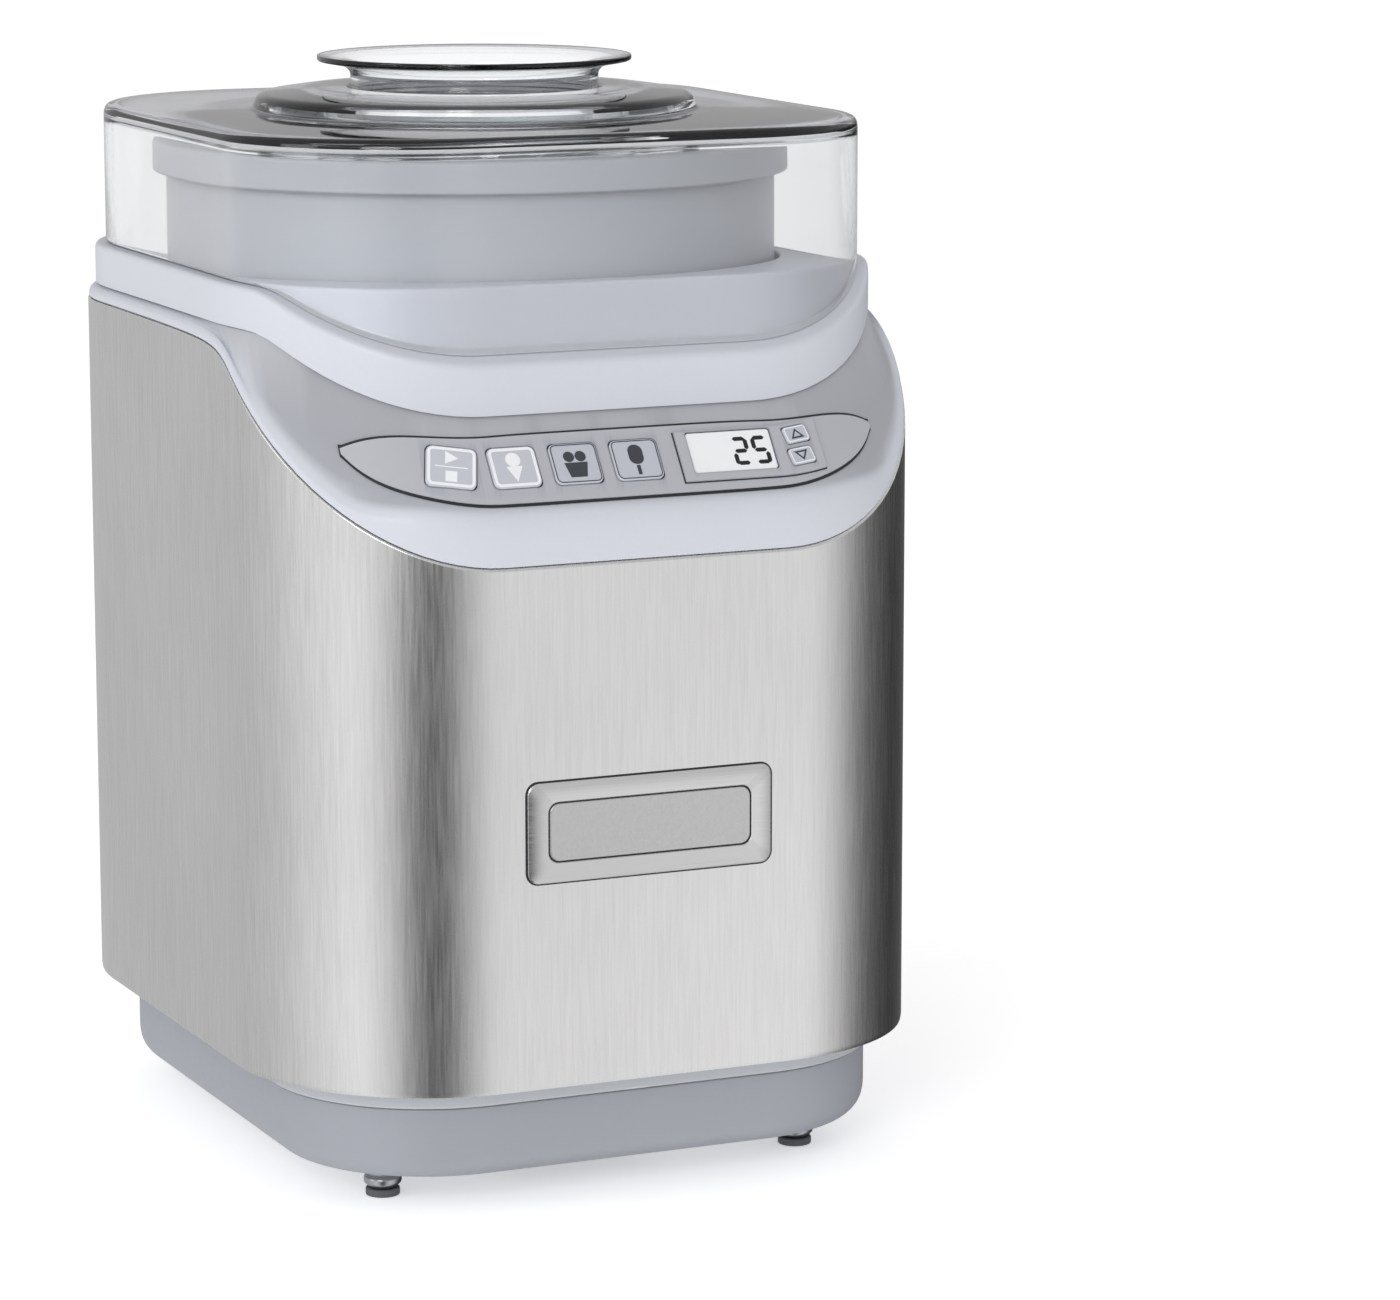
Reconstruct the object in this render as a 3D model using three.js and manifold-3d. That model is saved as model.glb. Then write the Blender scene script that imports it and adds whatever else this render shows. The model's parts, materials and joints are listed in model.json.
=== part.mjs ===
// An electric ice cream maker with a chilled bowl, in millimetres, +Z up and front towards -Y.
// The origin is on the surface it stands on, under the middle of the body.
import * as THREE from "three";
import { mergeVertices } from "three/addons/utils/BufferGeometryUtils.js";
import Module from "manifold-3d";

const wasm = await Module();
wasm.setup();

// ---------------------------------------------------------------- driving sizes
const gap = 0.3; // between pieces that touch
const runningGap = 0.3; // between a shaft and what it turns in
const bodyWidth = 186;
const bodyDepth = 213.2;
const cornerRadius = 54;
const wrapWall = 1;
const mouldedWall = 2.5;
const wrapBottom = 34;
const shoulderHeight = 222.8; // upper edge of the wrap along its sides and back
const shoulderSlope = 0.905;
const shoulderStart = 59; // how far behind the front the shoulder begins to fall
const shoulderBend = 10;
const sideLip = 3; // height of the housing's lip over the wrap, at the sides
const frontLip = 12; // and at the front
const lipReach = 17; // depth over which the lip grows
const lipInset = 1.2;
const tongueDepth = 12;
const bandInset = 2.25; // the collar's band inside the body's width
const bandRear = 106.9;
const bandFront = 88.2;
const bandHeight = 11;
const bandFrontExtra = 2;
const bandSlope = 0.68;
const bandStart = 31;
const bandBend = 5;
const bandLift = 3.8; // band's lower edge over the shoulder
const deckLift = 11.4; // deck over the band's lower edge
const deckWall = 2;
const deckThickness = 3;
const lidStep = 3; // width of ledge left outside the lid
const lidWall = 2.7;
const lidHeight = 37.5; // lid's flat top over the deck
const lidEdge = 2;
const skirtClearance = 8.7; // between the lid's skirt and the bowl's inner wall
const skirtDrop = 9.5;
const domeRise = 6;
const domeShoulderWidth = 14; // from the dome's foot in to its flat top
const domeFlatWidth = 12.6; // flat ring between the dome's shoulder and the cup's neck
const spoutClearance = 0.8; // round the cup's neck
const spoutTubeReach = 7; // from the cup's neck out to the tube the paddle's ring turns in
const spoutTubeWall = 2.2;
const spoutTubeDepth = 13.5;
const cupFlangeWidth = 8.9;
const cupFlangeDish = 1.4; // how far the flange's inner edge dips below its rim
const cupWall = 2;
const cupDepth = 42;
const cupTaper = 3;
const cupFlangeLift = 6.5; // underside of the cup's flange over the dome
const bowlRadius = 81;
const bowlHeight = 157.8;
const bowlStand = 30.3; // rim over the deck
const bowlWall = 2.5;
const rimWidth = 3.7;
const rimHeight = 8.3;
const coolantThickness = 8;
const innerWall = 1.2;
const innerFloor = 17.5; // inner floor over the bowl's underside
const innerCorner = 6; // width and height of the slope between its wall and floor
const innerFlangeDrop = 2; // its flange below the bowl's rim
const coolantHeadroom = 8; // air left over the coolant
const socketBossRadius = 18;
const socketBossHeight = 10.5;
const socketRoof = 2.5; // wall over the drive socket
const bowlClearance = 1.2; // between the bowl and the deck's opening
const wellClearance = 2.2;
const wellFloorGap = 4; // between the bowl's underside and the well's floor
const wellFloor = 3;
const wellCorner = 5;
const plinthInset = 10.4;
const plinthCorner = 43;
const plinthBottom = 9;
const plinthTop = 28.2;
const plinthFloor = 3;
const trimProud = 1;
const trimHeight = 5;
const trimLift = 1.2; // its flange over the wrap's lower edge
const frameFlange = 3;
const frameWidth = 14;
const ventWidth = 5;
const ventLength = 44;
const ventPitch = 10;
const footRadius = 5;
const footSpread = 59.5;
const footFront = 68;
const footRear = 78;
const footPadHeight = 2;
const footPadRadius = 4.5;
const footStudRadius = 2.2;
const badgeWidth = 68;
const badgeHeight = 26;
const badgeCentreHeight = 101;
const badgeProud = 0.8;
const badgeThickness = 1.9;
const badgeCorner = 3;
const inlayWidth = 56;
const inlayHeight = 15;
const inlayThickness = 0.7;
const keyWidth = 13;
const keyHeight = 11.6;
const keyThickness = 2.2;
const keyCorner = 1.8;
const keyPitch = 16.8;
const firstKeyAt = -50;
const keyLevel = 0.47; // place up the control slope, as a share of it
const keyProud = 0.4; // over the membrane or bezel around it
const controlHoleDepth = 12;
const arrowWidth = 7;
const arrowHeight = 4.7;
const arrowAt = 46.3;
const arrowLevels = { up: 0.585, down: 0.375 };
const membraneThickness = 0.4;
const membraneMiddle = -2;
const membraneHalfLength = 77;
const membraneLow = 0.13;
const membraneHigh = 0.78;
const membraneLowRise = 0.26; // how far its lower edge rises at its ends
const membraneLowPower = 6; // the higher, the nearer the ends it rises
const membraneHighDrop = 0.35; // how far its upper edge falls at its ends
const membraneHighPower = 5;
const bezelStart = 12.3;
const bezelEnd = 53;
const bezelLow = 0.22;
const bezelHigh = 0.7;
const bezelThickness = 0.5;
const windowWidth = 23.4;
const windowHeight = 11.6;
const windowAt = 27.1;
const windowLevel = 0.49;
const windowThickness = 2.2;
const windowProud = 0.2;
const controlBoardWidth = 70;
const controlBoardHeight = 18;
const controlBoardLevel = 0.45;
const controlBoardDepth = 8; // behind the slope
const boardThickness = 1.6;
const powerBoardWidth = 72;
const powerBoardHeight = 44;
const powerBoardInset = 24; // in front of the rear face
const powerBoardLift = 10; // over the wrap's lower edge
const gearModule = 1.5;
const outputTeeth = 48;
const idlerPinionTeeth = 10;
const idlerWheelTeeth = 40;
const motorPinionTeeth = 10;
const toothRoot = 1.15; // depth below the pitch circle, in modules
const toothTip = 0.8; // height over it, in modules
const toothRootShare = 0.31; // half a tooth's width at its root, as a share of the pitch
const toothTipShare = 0.13;
const gearThickness = 6;
const gearOverlap = 0.4; // where the idler's pinion runs into its wheel
const idlerWheelThickness = 5;
const outputShaftRadius = 5;
const idlerAxleRadius = 3;
const motorShaftRadius = 2.5;
const bushWall = 3.4;
const bushFlange = 2.2;
const hubRadius = 11;
const hubHeight = 8.9;
const hubClearance = 0.6;
const idlerAngle = THREE.MathUtils.degToRad(225);
const motorAngle = THREE.MathUtils.degToRad(315);
const gearboxDrop = 27.5; // the plate's underside below the well
const coverDrop = 6.5; // the cover's top below the well
const plateThickness = 3;
const gearboxWall = 2.2;
const gearboxMargin = 4;
const gearboxCorner = 24;
const screwRadius = 1.6;
const screwHeadRadius = 3.2;
const bossRadius = 5;
const postRadius = 3; // posts the motor hangs from
const postLength = 3.2;
const postSpread = 20;
const motorDrop = 10; // the stator's top below the gearbox plate
const statorHalfWidth = 30;
const statorHeight = 18;
const rotorRadius = 14.4;
const airGap = 0.6;
const bracketReach = 4.2;
const bracketThickness = 2;
const bracketHalfDepth = 7;
const bracketLeg = 4;
const fanDrop = 9; // the fan's top below the stator
const fanHeight = 9;
const fanRadius = 24;
const fanHubRadius = 7;
const fanDisc = 1.2;
const fanBlades = 7;
const fanBladeThickness = 1.6;
const glandHole = 3.2;
const glandRadius = 5.5;
const glandAt = 28;
const paddleThickness = 7;
const paddleBar = 10;
const paddleClearance = 4;
const paddleRingWall = 3.6;
const paddleDrop = 9; // its top bar below the bowl's rim
const paddleSpindleHeight = 58;
const paddleRungLevel = 34;
const paddleRungTilt = 0.62;

// ---------------------------------------------------------------- derived places
const bodyY = badgeProud / 2; // the badge stands proud in front, and the origin is midway
const frontY = bodyY - bodyDepth / 2;
const rearY = bodyY + bodyDepth / 2;
const bandDepth = bandFront + bandRear;
const bowlY = (bandRear - bandFront) / 2;
const bandBottomHeight = shoulderHeight + bandLift;
const deckHeight = bandBottomHeight + deckLift;
const lidTop = deckHeight + lidHeight;
const domeTop = lidTop + domeRise;
const rimTop = deckHeight + bowlStand;
const bowlBottom = rimTop - bowlHeight;
const wellTopOfFloor = bowlBottom - wellFloorGap;
const wellUnderside = wellTopOfFloor - wellFloor;
const wellOpening = bowlRadius + bowlClearance;
const wellRadius = bowlRadius + wellClearance;
const innerRadius = bowlRadius - bowlWall - coolantThickness - innerWall - 2 * gap;
const innerFlangeTop = rimTop - innerFlangeDrop;
const domeRadius = innerRadius - skirtClearance;
const domeShoulderRadius = domeRadius - domeShoulderWidth;
const cupNeckRadius = domeShoulderRadius - domeFlatWidth;
const cupFlangeRadius = cupNeckRadius + cupFlangeWidth;
const spoutTubeRadius = cupNeckRadius + spoutTubeReach;
const plateBottom = wellUnderside - gearboxDrop;
const plateTop = plateBottom + plateThickness;
const coverTop = wellUnderside - coverDrop;
const gearLevel = plateTop + 1;
const outputLevel = gearLevel + idlerWheelThickness + 1;
const idlerDistance = (gearModule * (outputTeeth + idlerPinionTeeth)) / 2;
const motorDistance = (gearModule * (idlerWheelTeeth + motorPinionTeeth)) / 2;
const idlerX = idlerDistance * Math.cos(idlerAngle);
const idlerY = bowlY + idlerDistance * Math.sin(idlerAngle);
const motorX = idlerX + motorDistance * Math.cos(motorAngle);
const motorY = idlerY + motorDistance * Math.sin(motorAngle);
const statorTop = plateBottom - motorDrop;
const statorBottom = statorTop - statorHeight;
const fanTop = statorBottom - fanDrop;
const fanBottom = fanTop - fanHeight;

// ---------------------------------------------------------------- solids
function plainGeometry(geometry) {
  const loose = geometry.index ? geometry.toNonIndexed() : geometry;
  const plain = new THREE.BufferGeometry();
  plain.setAttribute("position", loose.getAttribute("position"));
  return mergeVertices(plain, 1e-4);
}

function solidOf(geometry) {
  const plain = plainGeometry(geometry);
  const mesh = new wasm.Mesh({
    numProp: 3,
    vertProperties: plain.getAttribute("position").array,
    triVerts: new Uint32Array(plain.index.array),
  });
  return new wasm.Manifold(mesh);
}

function geometryOf(manifold) {
  const mesh = manifold.getMesh();
  const geometry = new THREE.BufferGeometry();
  geometry.setAttribute("position", new THREE.BufferAttribute(mesh.vertProperties, 3));
  geometry.setIndex(new THREE.BufferAttribute(mesh.triVerts, 1));
  return geometry;
}

function cut(geometry, ...tools) {
  return geometryOf(tools.reduce((left, tool) => left.subtract(solidOf(tool)), solidOf(geometry)));
}

function join(geometry, ...others) {
  return geometryOf(others.reduce((whole, other) => whole.add(solidOf(other)), solidOf(geometry)));
}

// ---------------------------------------------------------------- shape helpers
const cornerSteps = 6;
const sideSteps = 6;
const turnSteps = 28;

// The plan outlines, each {w, d, r, y}: a rectangle with round corners centred at x = 0.
function inset(plan, distance) {
  return {
    w: plan.w - 2 * distance,
    d: plan.d - 2 * distance,
    r: Math.max(plan.r - distance, 1),
    y: plan.y,
  };
}

// A plan's outline as [x, y] points, anticlockwise from above, starting on the right side.
function outline(plan) {
  const points = [];
  const halfW = plan.w / 2 - plan.r;
  const halfD = plan.d / 2 - plan.r;
  const centres = [
    [halfW, halfD],
    [-halfW, halfD],
    [-halfW, -halfD],
    [halfW, -halfD],
  ];
  centres.forEach(([cx, cy], corner) => {
    for (let i = 0; i <= cornerSteps; i++) {
      const angle = (corner + i / cornerSteps) * (Math.PI / 2);
      points.push([cx + plan.r * Math.cos(angle), plan.y + cy + plan.r * Math.sin(angle)]);
    }
    const [fromX, fromY] = points[points.length - 1];
    const [nextX, nextY] = centres[(corner + 1) % 4];
    const turned = ((corner + 1) * Math.PI) / 2;
    const toX = nextX + plan.r * Math.cos(turned);
    const toY = plan.y + nextY + plan.r * Math.sin(turned);
    for (let i = 1; i < sideSteps; i++) {
      const share = i / sideSteps;
      points.push([fromX + (toX - fromX) * share, fromY + (toY - fromY) * share]);
    }
  });
  return points;
}

// A ring of 3-D points on a plan's outline. height is a number or a function of y.
function ring(plan, height) {
  return outline(plan).map(([x, y]) => {
    const z = typeof height === "function" ? height(y) : height;
    return new THREE.Vector3(x, y, z);
  });
}

// A round ring about the bowl's axis whose points face those of a plan's outline.
function roundRing(plan, radius, z) {
  return outline(plan).map(([x, y]) => {
    const angle = Math.atan2(y - bowlY, x);
    return new THREE.Vector3(radius * Math.cos(angle), bowlY + radius * Math.sin(angle), z);
  });
}

// A solid through rings of equal length: joined end to end, or capped at both ends.
function loft(rings, closed) {
  const count = rings[0].length;
  const vertices = rings.flat();
  const faces = [];
  const spans = closed ? rings.length : rings.length - 1;
  for (let i = 0; i < spans; i++) {
    const low = i * count;
    const high = ((i + 1) % rings.length) * count;
    for (let k = 0; k < count; k++) {
      const next = (k + 1) % count;
      faces.push(low + k, low + next, high + next, low + k, high + next, high + k);
    }
  }
  if (!closed) {
    const middle = (points) => {
      const sum = points.reduce((total, p) => total.add(p), new THREE.Vector3());
      return sum.divideScalar(points.length);
    };
    const last = (rings.length - 1) * count;
    const below = vertices.push(middle(rings[0])) - 1;
    const above = vertices.push(middle(rings[rings.length - 1])) - 1;
    for (let k = 0; k < count; k++) {
      const next = (k + 1) % count;
      faces.push(below, next, k, above, last + k, last + next);
    }
  }
  const geometry = new THREE.BufferGeometry().setFromPoints(vertices);
  geometry.setIndex(faces);
  return geometry;
}

// A turned solid about a vertical axis at (x, y). The profile is [radius, z], anticlockwise.
function turned(profile, x = 0, y = 0, steps = turnSteps) {
  const points = [...profile, profile[0]].map(([r, z]) => new THREE.Vector2(r, z));
  const geometry = new THREE.LatheGeometry(points, steps);
  geometry.rotateX(Math.PI / 2);
  geometry.translate(x, y, 0);
  return geometry;
}

function tube(inner, outer, low, high, x = 0, y = 0, steps = turnSteps) {
  const profile = [
    [inner, low],
    [outer, low],
    [outer, high],
    [inner, high],
  ];
  return turned(profile, x, y, steps);
}

function rod(radius, low, high, x = 0, y = 0, steps = 16) {
  const geometry = new THREE.CylinderGeometry(radius, radius, high - low, steps);
  geometry.rotateX(Math.PI / 2);
  geometry.translate(x, y, (low + high) / 2);
  return geometry;
}

function block([x0, y0, z0], [x1, y1, z1]) {
  const geometry = new THREE.BoxGeometry(x1 - x0, y1 - y0, z1 - z0);
  geometry.translate((x0 + x1) / 2, (y0 + y1) / 2, (z0 + z1) / 2);
  return geometry;
}

function roundedRectangle(width, height, radius) {
  const shape = new THREE.Shape();
  const x = width / 2 - radius;
  const y = height / 2 - radius;
  shape.absarc(x, y, radius, 0, Math.PI / 2);
  shape.absarc(-x, y, radius, Math.PI / 2, Math.PI);
  shape.absarc(-x, -y, radius, Math.PI, 1.5 * Math.PI);
  shape.absarc(x, -y, radius, 1.5 * Math.PI, 2 * Math.PI);
  return shape;
}

function extruded(shape, low, high, curveSegments = 2) {
  const geometry = new THREE.ExtrudeGeometry(shape, {
    depth: high - low,
    bevelEnabled: false,
    curveSegments,
  });
  geometry.translate(0, 0, low);
  return geometry;
}

// ---------------------------------------------------------------- the body's curved edges
function softRamp(distance, bend) {
  return (distance + Math.hypot(distance, bend)) / 2;
}

function smoothStep(share) {
  const t = THREE.MathUtils.clamp(share, 0, 1);
  return t * t * (3 - 2 * t);
}

function shoulder(y) {
  return shoulderHeight - shoulderSlope * softRamp(frontY + shoulderStart - y, shoulderBend);
}

function lipTop(y) {
  const grown = smoothStep((frontY + lipReach - y) / lipReach);
  return shoulder(y) + sideLip + (frontLip - sideLip) * grown;
}

function bandBottom(y) {
  return bandBottomHeight - bandSlope * softRamp(bandStart - bandFront - y, bandBend);
}

function bandTop(y) {
  const forward = smoothStep((bandStart - bandFront - y) / bandStart);
  return bandBottom(y) + bandHeight + bandFrontExtra * forward;
}

const bodyPlan = { w: bodyWidth, d: bodyDepth, r: cornerRadius, y: bodyY };
const plinthPlan = { ...inset(bodyPlan, plinthInset), r: plinthCorner };
const bandPlan = { w: bodyWidth - 2 * bandInset, d: bandDepth, r: cornerRadius, y: bowlY };
const lidPlan = inset(bandPlan, lidStep);
const deckPlan = inset(lidPlan, lidWall + 0.5);
const lipPlan = inset(bodyPlan, lipInset);
const underBandPlan = inset(bandPlan, 1);

// ---------------------------------------------------------------- the control slope
// Where the front half of a plan's outline is, a distance along from its middle.
function alongFront(plan, along) {
  const flat = plan.w / 2 - plan.r;
  const past = Math.max(Math.abs(along) - flat, 0);
  const angle = Math.min(past / cornerRadius, Math.PI / 2);
  const x = Math.sign(along) * (Math.min(Math.abs(along), flat) + plan.r * Math.sin(angle));
  return [x, plan.y - plan.d / 2 + plan.r * (1 - Math.cos(angle))];
}

// A point on the control slope: along its length, and up it as a share, raised by offset.
function slopePoint(along, level, offset = 0) {
  const at = (s, t) => {
    const [x0, y0] = alongFront(lipPlan, s);
    const [x1, y1] = alongFront(underBandPlan, s);
    const low = new THREE.Vector3(x0, y0, lipTop(y0));
    const high = new THREE.Vector3(x1, y1, bandBottom(y1) - gap);
    return low.lerp(high, t);
  };
  const step = 0.5;
  const tangent = at(along + step, level).sub(at(along - step, level)).normalize();
  const upward = at(along, 1).sub(at(along, 0)).normalize();
  const normal = new THREE.Vector3().crossVectors(tangent, upward).normalize();
  const point = at(along, level).addScaledVector(normal, offset);
  return { point, tangent, normal };
}

// Places a geometry made flat on z = 0 onto the slope, with its +Z along the outward normal.
function onSlope(geometry, along, level) {
  const { point, tangent, normal } = slopePoint(along, level);
  const upward = new THREE.Vector3().crossVectors(normal, tangent);
  const frame = new THREE.Matrix4().makeBasis(tangent, upward, normal).setPosition(point);
  return geometry.applyMatrix4(frame);
}

// A thin sheet over the slope between two levels, each a function of the distance along it.
function slopeSheet(start, end, low, high, offset, thickness, steps) {
  const rings = [];
  for (let i = 0; i <= steps; i++) {
    const along = start + ((end - start) * i) / steps;
    rings.push([
      slopePoint(along, low(along), offset).point,
      slopePoint(along, high(along), offset).point,
      slopePoint(along, high(along), offset + thickness).point,
      slopePoint(along, low(along), offset + thickness).point,
    ]);
  }
  return loft(rings, false);
}

const keys = [
  ["start_stop_key", firstKeyAt],
  ["ice_cream_key", firstKeyAt + keyPitch],
  ["gelato_key", firstKeyAt + 2 * keyPitch],
  ["sorbet_key", firstKeyAt + 3 * keyPitch],
];
const keyTop = gap + membraneThickness + keyProud;
const bezelOffset = 2 * gap + membraneThickness;
const arrowTop = bezelOffset + bezelThickness + keyProud;
const windowTop = bezelOffset + windowProud;

function pad(width, height, corner, low, high) {
  return extruded(roundedRectangle(width, height, corner), low, high);
}

// Every hole that the keys and the display pass through, as cutting solids.
function controlHoles() {
  const depth = controlHoleDepth;
  const holes = keys.map(([, along]) =>
    onSlope(pad(keyWidth + 2 * gap, keyHeight + 2 * gap, keyCorner, -depth, depth), along, keyLevel),
  );
  for (const level of Object.values(arrowLevels)) {
    const hole = pad(arrowWidth + 2 * gap, arrowHeight + 2 * gap, 1, -depth, depth);
    holes.push(onSlope(hole, arrowAt, level));
  }
  const pane = pad(windowWidth + 2 * gap, windowHeight + 2 * gap, 1, -depth, depth);
  holes.push(onSlope(pane, windowAt, windowLevel));
  return holes;
}

// ---------------------------------------------------------------- body pieces
function badgeBlock(width, height, corner, outerY, innerY) {
  const geometry = pad(width, height, corner, 0, innerY - outerY);
  geometry.rotateX(Math.PI / 2);
  geometry.translate(0, innerY, badgeCentreHeight);
  return geometry;
}

function metalWrap() {
  const inner = inset(bodyPlan, wrapWall);
  const skin = loft(
    [ring(bodyPlan, wrapBottom), ring(bodyPlan, shoulder), ring(inner, shoulder), ring(inner, wrapBottom)],
    true,
  );
  const opening = badgeBlock(
    badgeWidth + 2 * gap,
    badgeHeight + 2 * gap,
    badgeCorner,
    frontY - 5,
    frontY + 5,
  );
  return cut(skin, opening);
}

function badgePlate() {
  const face = frontY - badgeProud;
  const plate = badgeBlock(badgeWidth, badgeHeight, badgeCorner, face, face + badgeThickness);
  const recess = badgeBlock(
    inlayWidth + 2 * gap,
    inlayHeight + 2 * gap,
    badgeCorner,
    face - 1,
    face + inlayThickness + gap,
  );
  return cut(plate, recess);
}

function badgeInlay() {
  const face = frontY - badgeProud;
  return badgeBlock(inlayWidth, inlayHeight, badgeCorner, face + 0.1, face + inlayThickness);
}

function upperHousing() {
  const tongue = inset(bodyPlan, wrapWall + gap);
  const tongueInner = inset(tongue, mouldedWall);
  const lipInner = inset(lipPlan, mouldedWall + 0.8);
  const topInner = inset(underBandPlan, mouldedWall);
  const tongueBottom = (y) => shoulder(y) - tongueDepth;
  const lipFoot = (y) => shoulder(y) + gap;
  const lipMiddle = (y) => shoulder(y) + gap + 0.7 * (lipTop(y) - shoulder(y) - gap);
  const underBand = (y) => bandBottom(y) - gap;
  const shell = loft(
    [
      ring(tongue, tongueBottom),
      ring(tongue, lipFoot),
      ring(bodyPlan, lipFoot),
      ring(inset(bodyPlan, lipInset / 3), lipMiddle),
      ring(lipPlan, lipTop),
      ring(underBandPlan, underBand),
      ring(topInner, underBand),
      ring(lipInner, (y) => lipTop(y) - mouldedWall),
      ring(tongueInner, (y) => shoulder(y) - mouldedWall),
      ring(tongueInner, tongueBottom),
    ],
    true,
  );
  return cut(shell, ...controlHoles());
}

function deckCollar() {
  const deckInner = inset(deckPlan, deckWall);
  const bandInner = inset(bandPlan, mouldedWall);
  const ledge = (y) => bandTop(y) - 3.2;
  return loft(
    [
      ring(bandPlan, bandBottom),
      ring(bandPlan, bandTop),
      ring(deckPlan, bandTop),
      ring(deckPlan, deckHeight),
      roundRing(deckPlan, wellOpening, deckHeight),
      roundRing(deckPlan, wellOpening, deckHeight - deckThickness),
      ring(deckInner, deckHeight - deckThickness),
      ring(deckInner, ledge),
      ring(bandInner, ledge),
      ring(bandInner, bandBottom),
    ],
    true,
  );
}

// An ear that a gearbox screw bites into. It reaches in as far as the well's floor.
function screwEar([x, y]) {
  const share = Math.min((wellRadius - 2 * wellCorner) / Math.hypot(x, y - bowlY), 1);
  const ends = [
    [x, y],
    [x * share, bowlY + (y - bowlY) * share],
  ];
  const rods = ends.map(([endX, endY]) =>
    solidOf(rod(bossRadius, wellUnderside, wellTopOfFloor, endX, endY, 12)),
  );
  return geometryOf(wasm.Manifold.hull(rods));
}

function bowlWell() {
  const outer = wellRadius + deckWall;
  const top = deckHeight - deckThickness - 3 * gap - 1;
  const hole = outputShaftRadius + runningGap + bushWall + gap;
  const profile = [
    [hole, wellUnderside],
    [outer - wellCorner - 1, wellUnderside],
    [outer, wellUnderside + wellCorner + 1],
    [outer, top],
    [wellRadius, top],
    [wellRadius, wellTopOfFloor + wellCorner],
    [wellRadius - wellCorner, wellTopOfFloor],
    [hole, wellTopOfFloor],
  ];
  const sockets = gearboxCorners().map(([x, y]) =>
    rod(screwRadius + gap, wellUnderside - 1, wellTopOfFloor - 0.8, x, y, 8),
  );
  const well = join(turned(profile, 0, bowlY), ...gearboxCorners().map(screwEar));
  return cut(well, ...sockets);
}

function plinth() {
  const inner = inset(plinthPlan, mouldedWall);
  const tray = loft(
    [
      ring(inset(plinthPlan, 4), plinthBottom),
      ring(inset(plinthPlan, 1.2), plinthBottom + 1.2),
      ring(plinthPlan, plinthBottom + 4),
      ring(plinthPlan, plinthTop),
      ring(inner, plinthTop),
      ring(inner, plinthBottom + plinthFloor),
    ],
    false,
  );
  const studs = footPlaces().map(([x, y]) =>
    rod(footStudRadius + gap, plinthBottom - 1, plinthBottom + plinthFloor + 1, x, y, 12),
  );
  const vents = [-1.5, -0.5, 0.5, 1.5].map((place) => {
    const x = motorX + place * ventPitch;
    const low = [x - ventWidth / 2, motorY - ventLength / 2, plinthBottom - 1];
    const high = [x + ventWidth / 2, motorY + ventLength / 2, plinthBottom + plinthFloor + 1];
    return block(low, high);
  });
  const glandBore = rod(glandRadius + gap, -8, 8, 0, 0, 20);
  glandBore.rotateX(Math.PI / 2);
  glandBore.translate(glandAt, plinthRear(), glandHeight());
  return cut(tray, ...studs, ...vents, glandBore);
}

function plinthRear() {
  return plinthPlan.y + plinthPlan.d / 2;
}

function glandHeight() {
  return (plinthBottom + plinthFloor + plinthTop) / 2;
}

function trimFrame() {
  const low = plinthTop + gap;
  const outer = inset(bodyPlan, plinthInset - trimProud);
  const flange = inset(bodyPlan, wrapWall + gap);
  const inner = inset(bodyPlan, frameWidth);
  return loft(
    [
      ring({ ...outer, r: plinthCorner + trimProud }, low),
      ring({ ...outer, r: plinthCorner + trimProud }, low + trimHeight),
      ring(flange, wrapBottom + trimLift),
      ring(flange, wrapBottom + trimLift + frameFlange),
      ring(inner, wrapBottom + trimLift + frameFlange),
      ring(inner, low),
    ],
    true,
  );
}

function cordGland() {
  const wall = mouldedWall + 2 * gap;
  const profile = [
    [glandHole, -wall - 4],
    [glandRadius - 0.5, -wall - 4],
    [glandRadius, -wall],
    [glandRadius, gap],
    [glandRadius + 2, gap],
    [glandRadius + 1.5, 3],
    [glandHole, 4.5],
  ];
  const gland = turned(profile, 0, 0, 20);
  gland.rotateX(-Math.PI / 2);
  return gland.translate(glandAt, plinthRear(), glandHeight());
}

// ---------------------------------------------------------------- feet
function footPlaces() {
  return [
    [-footSpread, -footFront],
    [footSpread, -footFront],
    [-footSpread, footRear],
    [footSpread, footRear],
  ];
}

function footCup([x, y]) {
  const top = plinthBottom - gap;
  const low = footPadHeight + gap;
  const profile = [
    [0, low],
    [footRadius - 1, low],
    [footRadius, low + 1.2],
    [footRadius - 0.6, top],
    [footStudRadius, top],
    [footStudRadius, plinthBottom + plinthFloor + 1.5],
    [0, plinthBottom + plinthFloor + 1.5],
  ];
  return turned(profile, x, y, 12);
}

function footPad([x, y]) {
  return rod(footPadRadius, 0, footPadHeight, x, y, 12);
}

// ---------------------------------------------------------------- gears and drive
// A spur gear with its first tooth at angle phase. Its flanks are straight and have play.
function gear(teeth, thickness, bore, phase) {
  const pitchRadius = (gearModule * teeth) / 2;
  const pitchAngle = (2 * Math.PI) / teeth;
  const root = pitchRadius - toothRoot * gearModule;
  const tip = pitchRadius + toothTip * gearModule;
  const corners = [
    [root, -toothRootShare],
    [tip, -toothTipShare],
    [tip, toothTipShare],
    [root, toothRootShare],
  ];
  const points = [];
  for (let i = 0; i < teeth; i++) {
    for (const [radius, share] of corners) {
      const angle = phase + (i + share) * pitchAngle;
      points.push(new THREE.Vector2(radius * Math.cos(angle), radius * Math.sin(angle)));
    }
  }
  const shape = new THREE.Shape(points);
  const hole = new THREE.Path();
  hole.absarc(0, 0, bore, 0, 2 * Math.PI, true);
  shape.holes.push(hole);
  return extruded(shape, 0, thickness, 8);
}

function outputGear() {
  const wheel = gear(outputTeeth, gearThickness, outputShaftRadius + gap, idlerAngle);
  return wheel.translate(0, bowlY, outputLevel);
}

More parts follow.
